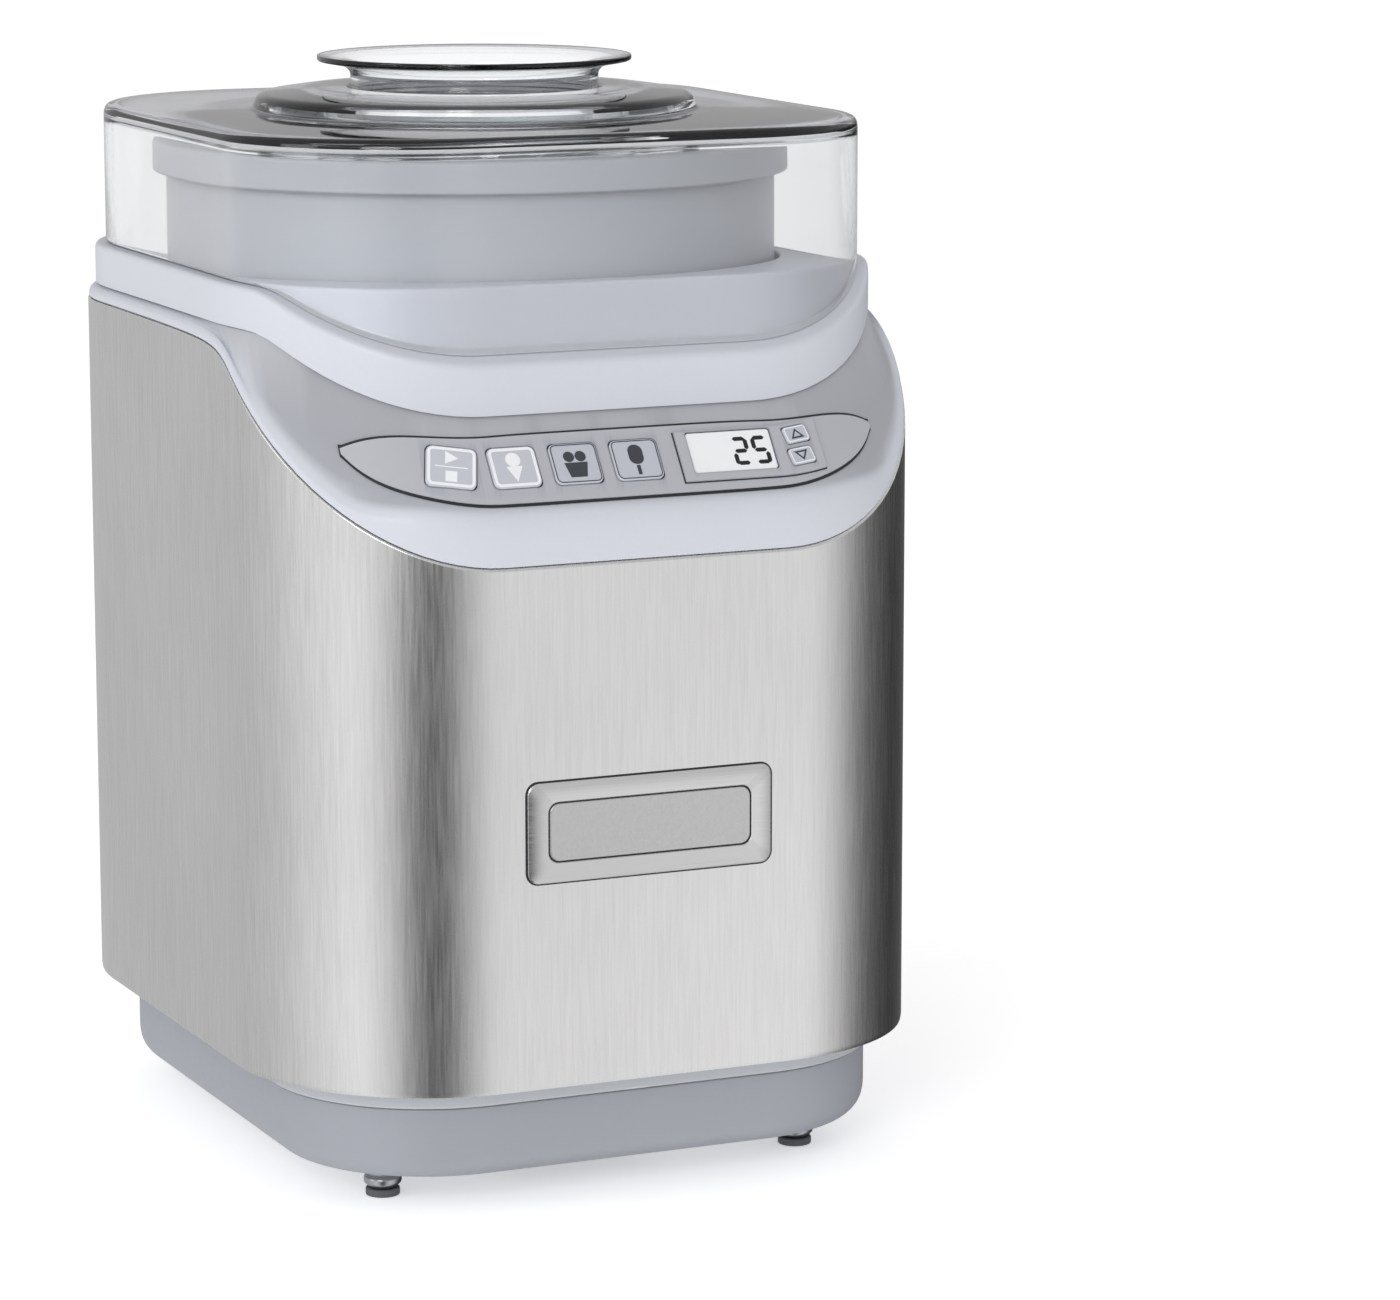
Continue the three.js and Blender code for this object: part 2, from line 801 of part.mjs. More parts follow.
function idlerGear() {
  const bore = idlerAxleRadius + runningGap;
  const pinionPhase = idlerAngle + Math.PI + Math.PI / idlerPinionTeeth;
  const wheel = gear(idlerWheelTeeth, idlerWheelThickness, bore, motorAngle);
  const pinion = gear(idlerPinionTeeth, gearThickness + 1 + gearOverlap, bore, pinionPhase);
  wheel.translate(idlerX, idlerY, gearLevel);
  pinion.translate(idlerX, idlerY, gearLevel + idlerWheelThickness - gearOverlap);
  return join(wheel, pinion);
}

function motorPinion() {
  const phase = motorAngle + Math.PI + Math.PI / motorPinionTeeth;
  const pinion = gear(motorPinionTeeth, idlerWheelThickness, motorShaftRadius + gap, phase);
  return pinion.translate(motorX, motorY, gearLevel);
}

const outputShaftTop = wellTopOfFloor + 6.5;
const hubBottom = wellTopOfFloor + 2.1;

function outputShaft() {
  return rod(outputShaftRadius, plateBottom - 4, outputShaftTop, 0, bowlY, 24);
}

function driveHub() {
  const hub = rod(hubRadius, hubBottom, hubBottom + hubHeight, 0, bowlY, 6);
  const socket = rod(outputShaftRadius + gap, hubBottom - 1, outputShaftTop + gap, 0, bowlY, 24);
  return cut(hub, socket);
}

function bush(low, high, flangeLow, flangeHigh) {
  const bore = outputShaftRadius + runningGap;
  const body = tube(bore, bore + bushWall, low, high, 0, bowlY, 16);
  const flange = tube(bore, bore + bushWall + bushFlange, flangeLow, flangeHigh, 0, bowlY, 16);
  return join(body, flange);
}

function upperBush() {
  const seat = wellUnderside - gap;
  return bush(seat - 1, wellTopOfFloor + 0.5, seat - 1.4, seat);
}

function lowerBush() {
  const seat = plateBottom - gap;
  return bush(seat - 1, plateTop + 0.5, seat - 1.4, seat);
}

// The gearbox's plan covers the three gears with a margin all round.
function gearboxPlan() {
  const tip = (teeth) => (gearModule * teeth) / 2 + gearModule;
  const circles = [
    [0, bowlY, tip(outputTeeth)],
    [idlerX, idlerY, tip(idlerWheelTeeth)],
    [motorX, motorY, tip(motorPinionTeeth)],
  ];
  const left = Math.min(...circles.map(([x, , r]) => x - r)) - gearboxMargin;
  const right = Math.max(...circles.map(([x, , r]) => x + r)) + gearboxMargin;
  const front = Math.min(...circles.map(([, y, r]) => y - r)) - gearboxMargin;
  const rear = Math.max(...circles.map(([, y, r]) => y + r)) + gearboxMargin;
  return { x: (left + right) / 2, y: (front + rear) / 2, w: right - left, d: rear - front };
}

function gearboxCorners() {
  const { x, y, w, d } = gearboxPlan();
  const places = [];
  for (const sideX of [-1, 1]) {
    for (const sideY of [-1, 1]) {
      places.push([x + sideX * (w / 2 - 1), y + sideY * (d / 2 - gearboxCorner + 4)]);
    }
  }
  return places;
}

function gearboxSlab(margin, low, high) {
  const { x, y, w, d } = gearboxPlan();
  const shape = roundedRectangle(w - 2 * margin, d - 2 * margin, gearboxCorner - margin);
  return extruded(shape, low, high, 4).translate(x, y, 0);
}

function gearboxPlate() {
  const bosses = gearboxCorners().map(([x, y]) => rod(bossRadius, plateBottom, plateTop, x, y, 12));
  const posts = [-1, 1].map((side) =>
    rod(postRadius, plateBottom - postLength, plateBottom + 1, motorX + side * postSpread, motorY, 12),
  );
  const plate = join(gearboxSlab(0, plateBottom, plateTop), ...bosses, ...posts);
  const bushHole = outputShaftRadius + runningGap + bushWall + gap;
  const holes = [
    rod(bushHole, plateBottom - 1, plateTop + 1, 0, bowlY, 24),
    rod(idlerAxleRadius + gap, plateBottom - 1, plateTop + 1, idlerX, idlerY, 16),
    rod(motorShaftRadius + 2, plateBottom - 1, plateTop + 1, motorX, motorY, 16),
    ...gearboxCorners().map(([x, y]) => rod(screwRadius + gap, plateBottom - 1, plateTop + 1, x, y, 8)),
  ];
  return cut(plate, ...holes);
}

function gearboxCover() {
  const low = plateTop + gap;
  const bosses = gearboxCorners().map(([x, y]) => rod(bossRadius, low, wellUnderside - gap, x, y, 12));
  const shell = join(gearboxSlab(0, low, coverTop), ...bosses);
  const holes = [
    rod(outputShaftRadius + 2, low, coverTop + 1, 0, bowlY, 24),
    ...gearboxCorners().map(([x, y]) => rod(screwRadius + gap, low - 1, wellUnderside + 1, x, y, 8)),
  ];
  return cut(shell, gearboxSlab(gearboxWall, low - 1, coverTop - gearboxWall), ...holes);
}

function gearboxScrew([x, y]) {
  const seat = plateBottom - gap;
  const profile = [
    [0, seat - 2.2],
    [screwHeadRadius, seat - 2.2],
    [screwHeadRadius, seat],
    [screwRadius, seat],
    [screwRadius, wellTopOfFloor - 1.4],
    [0, wellTopOfFloor - 1.4],
  ];
  return turned(profile, x, y, 8);
}

function idlerAxle() {
  const top = coverTop - gearboxWall - gap;
  return rod(idlerAxleRadius, plateBottom - 2, top, idlerX, idlerY, 16);
}

// ---------------------------------------------------------------- motor
const statorRear = 24;
const coilLeg = { near: 27, far: 38 };
const coilHalfWidth = 16;
const coilGrowth = 6;

// The motor's pieces are made about its shaft, with the coil's leg towards the front.
function atMotor(geometry) {
  return geometry.translate(motorX, motorY, 0);
}

function motorStator() {
  const body = block(
    [-statorHalfWidth, -coilLeg.far, statorBottom],
    [statorHalfWidth, statorRear, statorTop],
  );
  const bore = rod(rotorRadius + airGap, statorBottom - 1, statorTop + 1);
  const slot = block(
    [-coilHalfWidth - 2, -coilLeg.near, statorBottom - 1],
    [coilHalfWidth + 2, -rotorRadius - 4, statorTop + 1],
  );
  return atMotor(cut(body, bore, slot));
}

function motorCoil() {
  const grown = coilGrowth;
  const winding = block(
    [-coilHalfWidth, -coilLeg.far - grown, statorBottom - grown],
    [coilHalfWidth, -coilLeg.near + grown, statorTop + grown],
  );
  const leg = block(
    [-coilHalfWidth - 1, -coilLeg.far - gap, statorBottom - gap],
    [coilHalfWidth + 1, -coilLeg.near + gap, statorTop + gap],
  );
  return atMotor(cut(winding, leg));
}

function motorBracket(seat, upward) {
  const reach = bracketReach * upward;
  const bar = bracketThickness * upward;
  const level = (a, b) => [Math.min(a, b), Math.max(a, b)];
  const [legLow, legHigh] = level(seat, seat + reach + bar);
  const [barLow, barHigh] = level(seat + reach, seat + reach + bar);
  const outer = statorHalfWidth - 1;
  const legs = [-1, 1].map((side) => {
    const [x0, x1] = level(side * outer, side * (outer - bracketLeg));
    return block([x0, -bracketHalfDepth, legLow], [x1, bracketHalfDepth, legHigh]);
  });
  const span = block([-outer, -bracketHalfDepth, barLow], [outer, bracketHalfDepth, barHigh]);
  const bracket = join(span, ...legs);
  return atMotor(cut(bracket, rod(motorShaftRadius + runningGap, legLow - 9, legHigh + 9)));
}

function motorRotor() {
  return tube(motorShaftRadius + gap, rotorRadius, statorBottom - 2, statorTop + 2, motorX, motorY, 24);
}

function motorShaft() {
  const top = gearLevel + idlerWheelThickness + 0.5;
  return rod(motorShaftRadius, fanBottom - 1, top, motorX, motorY, 16);
}

function motorFan() {
  const hub = rod(fanHubRadius, fanBottom, fanTop);
  const half = fanBladeThickness / 2;
  const blades = [];
  for (let i = 0; i < fanBlades; i++) {
    const blade = block([fanHubRadius - 2, -half, fanBottom], [fanRadius, half, fanTop]);
    blades.push(blade.rotateZ((2 * Math.PI * i) / fanBlades));
  }
  const disc = rod(fanRadius, fanTop - fanDisc, fanTop);
  const bore = rod(motorShaftRadius + gap, fanBottom - 1, fanTop + 1, 0, 0, 16);
  return atMotor(cut(join(hub, disc, ...blades), bore));
}

// ---------------------------------------------------------------- circuit boards
function controlBoard() {
  const back = -controlBoardDepth - boardThickness;
  const board = pad(controlBoardWidth, controlBoardHeight, 1, back, -controlBoardDepth);
  return onSlope(board, 0, controlBoardLevel);
}

function powerBoard() {
  const y = rearY - powerBoardInset;
  const low = wrapBottom + powerBoardLift;
  const half = powerBoardWidth / 2;
  const board = block([-half, y, low], [half, y + boardThickness, low + powerBoardHeight]);
  const parts = [
    block([-28, y - 14, low + 6], [-8, y + 0.5, low + 26]),
    block([2, y - 10, low + 8], [14, y + 0.5, low + 20]),
    block([20, y - 12, low + 18], [30, y + 0.5, low + 36]),
  ];
  return join(board, ...parts);
}

// ---------------------------------------------------------------- bowl, paddle, lid and cup
function bowlShell() {
  const rimRadius = bowlRadius + rimWidth;
  const inside = bowlRadius - bowlWall;
  const rimBottom = rimTop - rimHeight;
  const boss = socketBossRadius;
  const bossTop = bowlBottom + socketBossHeight;
  const profile = [
    [0, bowlBottom],
    [bowlRadius - 9, bowlBottom],
    [bowlRadius - 3.5, bowlBottom + 3],
    [bowlRadius - 1.5, bowlBottom + 10],
    [bowlRadius, rimBottom - 0.6],
    [rimRadius, rimBottom],
    [rimRadius, rimTop - 1],
    [rimRadius - 1, rimTop],
    [inside, rimTop],
    [inside, rimBottom - 2],
    [inside - 1.5, bowlBottom + 11],
    [inside - 8, bowlBottom + bowlWall],
    [boss, bowlBottom + bowlWall],
    [boss, bossTop],
    [0, bossTop],
  ];
  const socket = rod(hubRadius + hubClearance, bowlBottom - 1, bossTop - socketRoof, 0, bowlY, 6);
  return cut(turned(profile, 0, bowlY), socket);
}

function bowlInner() {
  const floor = bowlBottom + innerFloor;
  const flangeOuter = bowlRadius - bowlWall - gap;
  const profile = [
    [0, floor - innerWall],
    [innerRadius - innerCorner, floor - innerWall],
    [innerRadius + innerWall, floor + innerCorner],
    [innerRadius + innerWall, innerFlangeTop - innerWall],
    [flangeOuter, innerFlangeTop - innerWall],
    [flangeOuter, innerFlangeTop],
    [innerRadius, innerFlangeTop],
    [innerRadius, floor + innerCorner + 0.5],
    [innerRadius - innerCorner - 0.5, floor],
    [0, floor],
  ];
  return turned(profile, 0, bowlY);
}

function coolant() {
  const low = bowlBottom + socketBossHeight + gap;
  const floor = bowlBottom + innerFloor - innerWall - gap;
  const inner = innerRadius + innerWall + gap;
  const outer = inner + coolantThickness - 1.8;
  const top = innerFlangeTop - innerWall - coolantHeadroom;
  const profile = [
    [0, low],
    [outer - 7, low],
    [outer, low + 8],
    [outer, top],
    [inner, top],
    [inner, floor + innerCorner + 0.6],
    [inner - innerCorner - 0.6, floor],
    [0, floor],
  ];
  return turned(profile, 0, bowlY);
}

const paddleRingTop = lidTop - skirtDrop + 2;

function mixingPaddle() {
  const low = bowlBottom + innerFloor + paddleClearance;
  const high = rimTop - paddleDrop;
  const reach = innerRadius - paddleClearance;
  const half = paddleThickness / 2;
  const ringOuter = spoutTubeRadius - gap;
  const ringBottom = high - 2;
  const bars = [
    block([-reach, -half, low], [reach, half, low + paddleBar]),
    block([-reach, -half, high - paddleBar], [-ringOuter + 2, half, high]),
    block([ringOuter - 2, -half, high - paddleBar], [reach, half, high]),
    block([-reach, -half, low], [-reach + paddleBar, half, high]),
    block([reach - paddleBar, -half, low], [reach, half, high]),
    block([-paddleBar / 2, -half, low], [paddleBar / 2, half, low + paddleSpindleHeight]),
  ];
  const rungs = [-1, 1].map((side) => {
    const rung = new THREE.BoxGeometry(reach - 4, paddleThickness, paddleBar);
    rung.rotateY(side * paddleRungTilt);
    return rung.translate(side * (reach / 2), 0, low + paddleRungLevel);
  });
  const frame = join(bars[0], ...bars.slice(1), ...rungs).translate(0, bowlY, 0);
  const profile = [
    [ringOuter - paddleRingWall, high - paddleBar],
    [ringOuter, high - paddleBar],
    [ringOuter, paddleRingTop],
    [ringOuter - paddleRingWall + 1.4, paddleRingTop],
    [ringOuter - paddleRingWall, ringBottom],
  ];
  return join(frame, turned(profile, 0, bowlY));
}

function lid() {
  const inner = inset(lidPlan, lidWall);
  const foot = (y) => bandTop(y) + gap;
  const opening = cupNeckRadius + spoutClearance;
  const underTop = lidTop - lidWall;
  const tubeBottom = domeTop - lidWall - spoutTubeDepth;
  const tubeInner = spoutTubeRadius + gap;
  const tubeOuter = tubeInner + spoutTubeWall;
  const around = (radius, z) => roundRing(lidPlan, radius, z);
  return loft(
    [
      ring(lidPlan, foot),
      ring(lidPlan, lidTop - lidEdge),
      ring(inset(lidPlan, lidEdge), lidTop),
      around(domeRadius, lidTop),
      around(domeRadius - 1.5, lidTop + 0.7 * domeRise),
      around(domeShoulderRadius, domeTop),
      around(opening, domeTop),
      around(opening, domeTop - lidWall),
      around(tubeInner, domeTop - lidWall),
      around(tubeInner, tubeBottom),
      around(tubeOuter, tubeBottom),
      around(tubeOuter, domeTop - lidWall - 0.6),
      around(domeRadius - lidWall - 1, lidTop + 0.7 * domeRise - lidWall),
      around(domeRadius - lidWall, lidTop - skirtDrop),
      around(domeRadius, lidTop - skirtDrop),
      around(domeRadius, underTop),
      ring(inset(inner, lidEdge), underTop),
      ring(inner, underTop - lidEdge),
      ring(inner, foot),
    ],
    true,
  );
}

function ingredientCup() {
  const flangeLow = domeTop + cupFlangeLift;
  const low = domeTop - cupDepth;
  const foot = cupNeckRadius - cupTaper;
  const profile = [
    [0, low],
    [foot - 2, low],
    [foot, low + 2],
    [cupNeckRadius, domeTop - lidWall - 1],
    [cupNeckRadius, flangeLow - 2.5],
    [cupNeckRadius + 2, flangeLow - 0.8],
    [cupFlangeRadius, flangeLow + 0.4],
    [cupFlangeRadius, flangeLow + 2],
    [cupNeckRadius + 1, flangeLow + 2 - cupFlangeDish],
    [cupNeckRadius - cupWall, flangeLow - 2],
    [cupNeckRadius - cupWall, domeTop - lidWall - 1],
    [foot - cupWall, low + 3],
    [foot - cupWall - 1, low + cupWall],
    [0, low + cupWall],
  ];
  return turned(profile, 0, bowlY);
}

// ---------------------------------------------------------------- materials
const finishes = {
  stainless: [0xb8b8b8, 0.35, 1],
  housing: [0xb9bbc3, 0.5, 0],
  collar: [0xc8cad4, 0.5, 0],
  plinth: [0xa9abb1, 0.5, 0],
  trim: [0xb8bbbe, 0.45, 0],
  clear: [0xe8ecf0, 0.05, 0],
  bowl: [0xb4b7bc, 0.45, 0],
  aluminium: [0xd0d2d4, 0.35, 1],
  membrane: [0x9fa2ab, 0.5, 0],
  litKey: [0xd9dbe0, 0.5, 0],
  greyKey: [0xb4b6be, 0.5, 0],
  display: [0xf2f4f4, 0.3, 0],
  badge: [0xc4c4c4, 0.3, 1],
  inlay: [0xa8a8a8, 0.4, 1],
  white: [0xe9eaea, 0.5, 0],
  steel: [0xa0a2a5, 0.35, 1],
  brass: [0xb08d4a, 0.4, 1],
  rubber: [0x2e2e30, 0.85, 0],
  board: [0x2f6b3d, 0.6, 0],
  copper: [0xb4683a, 0.45, 1],
  nylon: [0xe4e2d8, 0.6, 0],
  black: [0x333538, 0.6, 0],
  gel: [0x9fc4dd, 0.4, 0],
};

const iceCreamMaker = new THREE.Group();

function add(name, geometry, finish) {
  const [color, roughness, metalness] = finishes[finish];
  const material = new THREE.MeshStandardMaterial({ color, roughness, metalness });
  const mesh = new THREE.Mesh(geometry, material);
  mesh.name = name;
  iceCreamMaker.add(mesh);
}

// ---------------------------------------------------------------- assembly
footPlaces().forEach((place, i) => {
  add(`foot_cup_${i + 1}`, footCup(place), "steel");
  add(`foot_pad_${i + 1}`, footPad(place), "rubber");
});
add("plinth_tray", plinth(), "plinth");
add("trim_frame", trimFrame(), "trim");
add("metal_wrap", metalWrap(), "stainless");
add("badge_plate", badgePlate(), "badge");
add("badge_inlay", badgeInlay(), "inlay");
add("upper_housing", upperHousing(), "housing");
add("deck_collar", deckCollar(), "collar");
add("bowl_well", bowlWell(), "collar");
add("cord_gland", cordGland(), "black");

const membraneEnd = (along) => Math.abs((along - membraneMiddle) / membraneHalfLength);
const membrane = slopeSheet(
  membraneMiddle - membraneHalfLength,
  membraneMiddle + membraneHalfLength,
  (along) => membraneLow + membraneLowRise * membraneEnd(along) ** membraneLowPower,
  (along) => membraneHigh - membraneHighDrop * membraneEnd(along) ** membraneHighPower,
  gap,
  membraneThickness,
  26,
);
const bezel = slopeSheet(
  bezelStart,
  bezelEnd,
  () => bezelLow,
  () => bezelHigh,
  bezelOffset,
  bezelThickness,
  8,
);
add("control_membrane", cut(membrane, ...controlHoles()), "membrane");
add("display_bezel", cut(bezel, ...controlHoles().slice(keys.length)), "membrane");
const windowPane = pad(windowWidth, windowHeight, 0.8, windowTop - windowThickness, windowTop);
add("display_window", onSlope(windowPane, windowAt, windowLevel), "display");
for (const [name, along] of keys) {
  const lit = along < firstKeyAt + 1.5 * keyPitch;
  const key = pad(keyWidth, keyHeight, keyCorner, keyTop - keyThickness, keyTop);
  add(name, onSlope(key, along, keyLevel), lit ? "litKey" : "greyKey");
}
for (const [name, level] of Object.entries(arrowLevels)) {
  const key = pad(arrowWidth, arrowHeight, 0.8, arrowTop - keyThickness, arrowTop);
  add(`time_${name}_key`, onSlope(key, arrowAt, level), "greyKey");
}
add("control_board", controlBoard(), "board");
add("power_board", powerBoard(), "board");

add("gearbox_plate", gearboxPlate(), "steel");
add("gearbox_cover", gearboxCover(), "black");
gearboxCorners().forEach((place, i) => add(`gearbox_screw_${i + 1}`, gearboxScrew(place), "steel"));
add("lower_bush", lowerBush(), "brass");
add("upper_bush", upperBush(), "brass");
add("idler_axle", idlerAxle(), "steel");
add("output_gear", outputGear(), "nylon");
add("output_shaft", outputShaft(), "steel");
add("drive_hub", driveHub(), "nylon");
add("idler_gear", idlerGear(), "nylon");

add("motor_stator", motorStator(), "steel");
add("motor_coil", motorCoil(), "copper");
add("motor_bracket_upper", motorBracket(statorTop + gap, 1), "steel");
add("motor_bracket_lower", motorBracket(statorBottom - gap, -1), "steel");
add("motor_rotor", motorRotor(), "steel");
add("motor_shaft", motorShaft(), "steel");
add("motor_pinion", motorPinion(), "brass");
add("motor_fan", motorFan(), "black");

add("bowl_outer_shell", bowlShell(), "bowl");
add("bowl_coolant", coolant(), "gel");
add("bowl_inner_liner", bowlInner(), "aluminium");
add("mixing_paddle", mixingPaddle(), "white");
add("clear_lid", lid(), "clear");
add("ingredient_cup", ingredientCup(), "clear");

export default iceCreamMaker;
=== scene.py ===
import json
import math

import bpy
import numpy as np
from mathutils import Matrix, Vector


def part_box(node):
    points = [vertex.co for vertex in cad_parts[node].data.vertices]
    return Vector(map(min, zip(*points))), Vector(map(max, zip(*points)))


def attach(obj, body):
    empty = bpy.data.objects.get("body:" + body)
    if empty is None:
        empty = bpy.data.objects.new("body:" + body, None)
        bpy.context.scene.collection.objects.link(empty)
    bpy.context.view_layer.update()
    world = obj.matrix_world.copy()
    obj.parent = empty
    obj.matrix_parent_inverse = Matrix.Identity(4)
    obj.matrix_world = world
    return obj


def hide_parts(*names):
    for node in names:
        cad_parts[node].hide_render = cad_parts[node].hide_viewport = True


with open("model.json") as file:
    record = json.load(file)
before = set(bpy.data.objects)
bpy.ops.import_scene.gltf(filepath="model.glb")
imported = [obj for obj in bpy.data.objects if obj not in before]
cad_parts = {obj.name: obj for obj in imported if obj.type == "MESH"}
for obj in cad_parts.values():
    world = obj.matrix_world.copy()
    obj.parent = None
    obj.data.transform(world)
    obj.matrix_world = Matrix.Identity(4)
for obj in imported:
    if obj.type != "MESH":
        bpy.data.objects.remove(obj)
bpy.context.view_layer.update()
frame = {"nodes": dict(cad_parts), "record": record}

scene = bpy.context.scene

# ------------------------------------------------------------------ sizes, in millimetres
MM = 0.001


def box_mm(node):
    low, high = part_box(node)
    return low / MM, high / MM


wrap_low, wrap_high = box_mm("metal_wrap")
collar_low, collar_high = box_mm("deck_collar")
lid_high = box_mm("clear_lid")[1]
plinth_low, plinth_high = box_mm("plinth_tray")
trim_low, trim_high = box_mm("trim_frame")
bowl_low, bowl_high = box_mm("bowl_outer_shell")
liner_low, liner_high = box_mm("bowl_inner_liner")
well_low, well_high = box_mm("bowl_well")
cup_low, cup_high = box_mm("ingredient_cup")
badge_low, badge_high = box_mm("badge_plate")
inlay_low, inlay_high = box_mm("badge_inlay")

CORNER = 54.0
GAP = 0.3
WALL = 2.5
FRONT = wrap_low.y
BOWL_Y = (bowl_low.y + bowl_high.y) / 2
DECK = collar_high.z
PLINTH_CORNER = 43.0
TRIM_LEDGE = 1.0

# The wrap's upper edge is level along the sides, then falls towards the front.
SHOULDER = wrap_high.z
SHOULDER_SLOPE = 0.905
SHOULDER_START = 59.0
SHOULDER_BEND = 10.0

# The housing's lip stands on that edge, and is deeper in front than at the sides.
SIDE_LIP = 3.0
FRONT_LIP = 12.0
LIP_REACH = 17.0
LIP_INSET = 1.2

# The collar's band falls less steeply than the shoulder, which leaves the slope between them.
BAND_FRONT = collar_low.y
BAND_LIFT = 3.8
BAND_HEIGHT = 11.0
BAND_FRONT_EXTRA = 2.0
BAND_SLOPE = 0.68
BAND_START = 31.0
BAND_BEND = 5.0

# The lid, with its dome and the cup's neck as radii about the bowl's axis.
DOME_TOP = lid_high.z
DOME_RISE = 6.0
DOME_RADIUS = 60.0
DOME_SHOULDER = 46.0
LID_TOP = DOME_TOP - DOME_RISE
LID_STEP = 3.0
LID_WALL = 2.7
LID_PLAY = 0.5
CUP_NECK = 33.4

# The bowl's drive socket, and the boss that it is cut in.
BOSS_RADIUS = 18.0
BOSS_HEIGHT = 10.5
SOCKET_RADIUS = 11.6
SOCKET_ROOF = 2.5

VENT_PLACES = (-1.5, -0.5, 0.5, 1.5)
VENT_PITCH = 10.0
VENT_WIDTH = 5.0
VENT_LENGTH = 44.0


class Plan:
    """A rectangle with round corners, centred on x = 0."""

    def __init__(self, width, depth, corner, middle):
        self.width, self.depth, self.corner, self.middle = width, depth, corner, middle

    def inset(self, distance):
        corner = max(self.corner - distance, 1.0)
        return Plan(self.width - 2 * distance, self.depth - 2 * distance, corner, self.middle)


def plan_of(low, high, corner):
    return Plan(high.x - low.x, high.y - low.y, corner, (high.y + low.y) / 2)


body_plan = plan_of(wrap_low, wrap_high, CORNER)
band_plan = plan_of(collar_low, collar_high, CORNER)
lid_plan = band_plan.inset(LID_STEP)
deck_plan = lid_plan.inset(LID_WALL + LID_PLAY)
lip_plan = body_plan.inset(LIP_INSET)
under_band_plan = band_plan.inset(1.0)
plinth_plan = plan_of(plinth_low, plinth_high, PLINTH_CORNER)
trim_plan = Plan(plinth_plan.width + 2 * TRIM_LEDGE, plinth_plan.depth + 2 * TRIM_LEDGE,
                 PLINTH_CORNER + TRIM_LEDGE, plinth_plan.middle)


# ------------------------------------------------------------------ the body's curved edges
def soft_ramp(distance, bend):
    """Zero well before distance 0, equal to distance well after it, and smooth between."""
    return (distance + math.hypot(distance, bend)) / 2


def smooth_step(share):
    t = min(max(share, 0.0), 1.0)
    return t * t * (3 - 2 * t)


def shoulder_raw(y):
    return -SHOULDER_SLOPE * soft_ramp(FRONT + SHOULDER_START - y, SHOULDER_BEND)


SHOULDER_BASE = SHOULDER - shoulder_raw(wrap_high.y)


def shoulder(y):
    return SHOULDER_BASE + shoulder_raw(y)


def lip_top(y):
    grown = smooth_step((FRONT + LIP_REACH - y) / LIP_REACH)
    return shoulder(y) + SIDE_LIP + (FRONT_LIP - SIDE_LIP) * grown


def band_bottom(y):
    drop = BAND_SLOPE * soft_ramp(BAND_START + BAND_FRONT - y, BAND_BEND)
    return SHOULDER_BASE + BAND_LIFT - drop


def band_top(y):
    forward = smooth_step((BAND_START + BAND_FRONT - y) / BAND_START)
    return band_bottom(y) + BAND_HEIGHT + BAND_FRONT_EXTRA * forward


# ------------------------------------------------------------------ mesh helpers
CORNER_STEPS = 20
SIDE_STEPS = 32
TURN_STEPS = 128


def outline(plan):
    """Points [x, y] round a plan, anticlockwise from above."""
    half_w = plan.width / 2 - plan.corner
    half_d = plan.depth / 2 - plan.corner
    centres = [(half_w, half_d), (-half_w, half_d), (-half_w, -half_d), (half_w, -half_d)]
    points = []
    for corner, (cx, cy) in enumerate(centres):
        for i in range(CORNER_STEPS + 1):
            angle = (corner + i / CORNER_STEPS) * math.pi / 2
            x = cx + plan.corner * math.cos(angle)
            y = plan.middle + cy + plan.corner * math.sin(angle)
            points.append((x, y))
        start = np.array(points[-1])
        next_x, next_y = centres[(corner + 1) % 4]
        angle = (corner + 1) * math.pi / 2
        end_x = next_x + plan.corner * math.cos(angle)
        end_y = plan.middle + next_y + plan.corner * math.sin(angle)
        for i in range(1, SIDE_STEPS):
            points.append(tuple(start + (np.array((end_x, end_y)) - start) * i / SIDE_STEPS))
    return points


def ring(plan, height):
    """The outline of a plan, at one height or at a height that is a function of y."""
    rise = height if callable(height) else lambda y: height
    return np.array([(x, y, rise(y)) for x, y in outline(plan)])


def round_ring(plan, radius, z):
    """A circle about the bowl's axis whose points face those of a plan's outline."""
    angles = [math.atan2(y - BOWL_Y, x) for x, y in outline(plan)]
    return np.array([(radius * math.cos(a), BOWL_Y + radius * math.sin(a), z) for a in angles])


def circle(radius, z, x=0.0, y=0.0, steps=TURN_STEPS):
    angles = [2 * math.pi * i / steps for i in range(steps)]
    return np.array([(x + radius * math.cos(a), y + radius * math.sin(a), z) for a in angles])


def soften(rings, radii, closed, steps=4):
    """Round the edge at each ring index in radii by that radius."""
    out = []
    count = len(rings)
    for i, middle in enumerate(rings):
        radius = radii.get(i, 0.0)
        if radius == 0 or (not closed and i in (0, count - 1)):
            out.append(middle)
            continue
        ends = []
        for other in (rings[i - 1], rings[(i + 1) % count]):
            away = other - middle
            length = np.linalg.norm(away, axis=1, keepdims=True)
            reach = np.minimum(radius, 0.45 * length)
            ends.append(middle + away / np.maximum(length, 1e-9) * reach)
        for k in range(steps + 1):
            t = k / steps
            out.append((1 - t) ** 2 * ends[0] + 2 * t * (1 - t) * middle + t * t * ends[1])
    return out


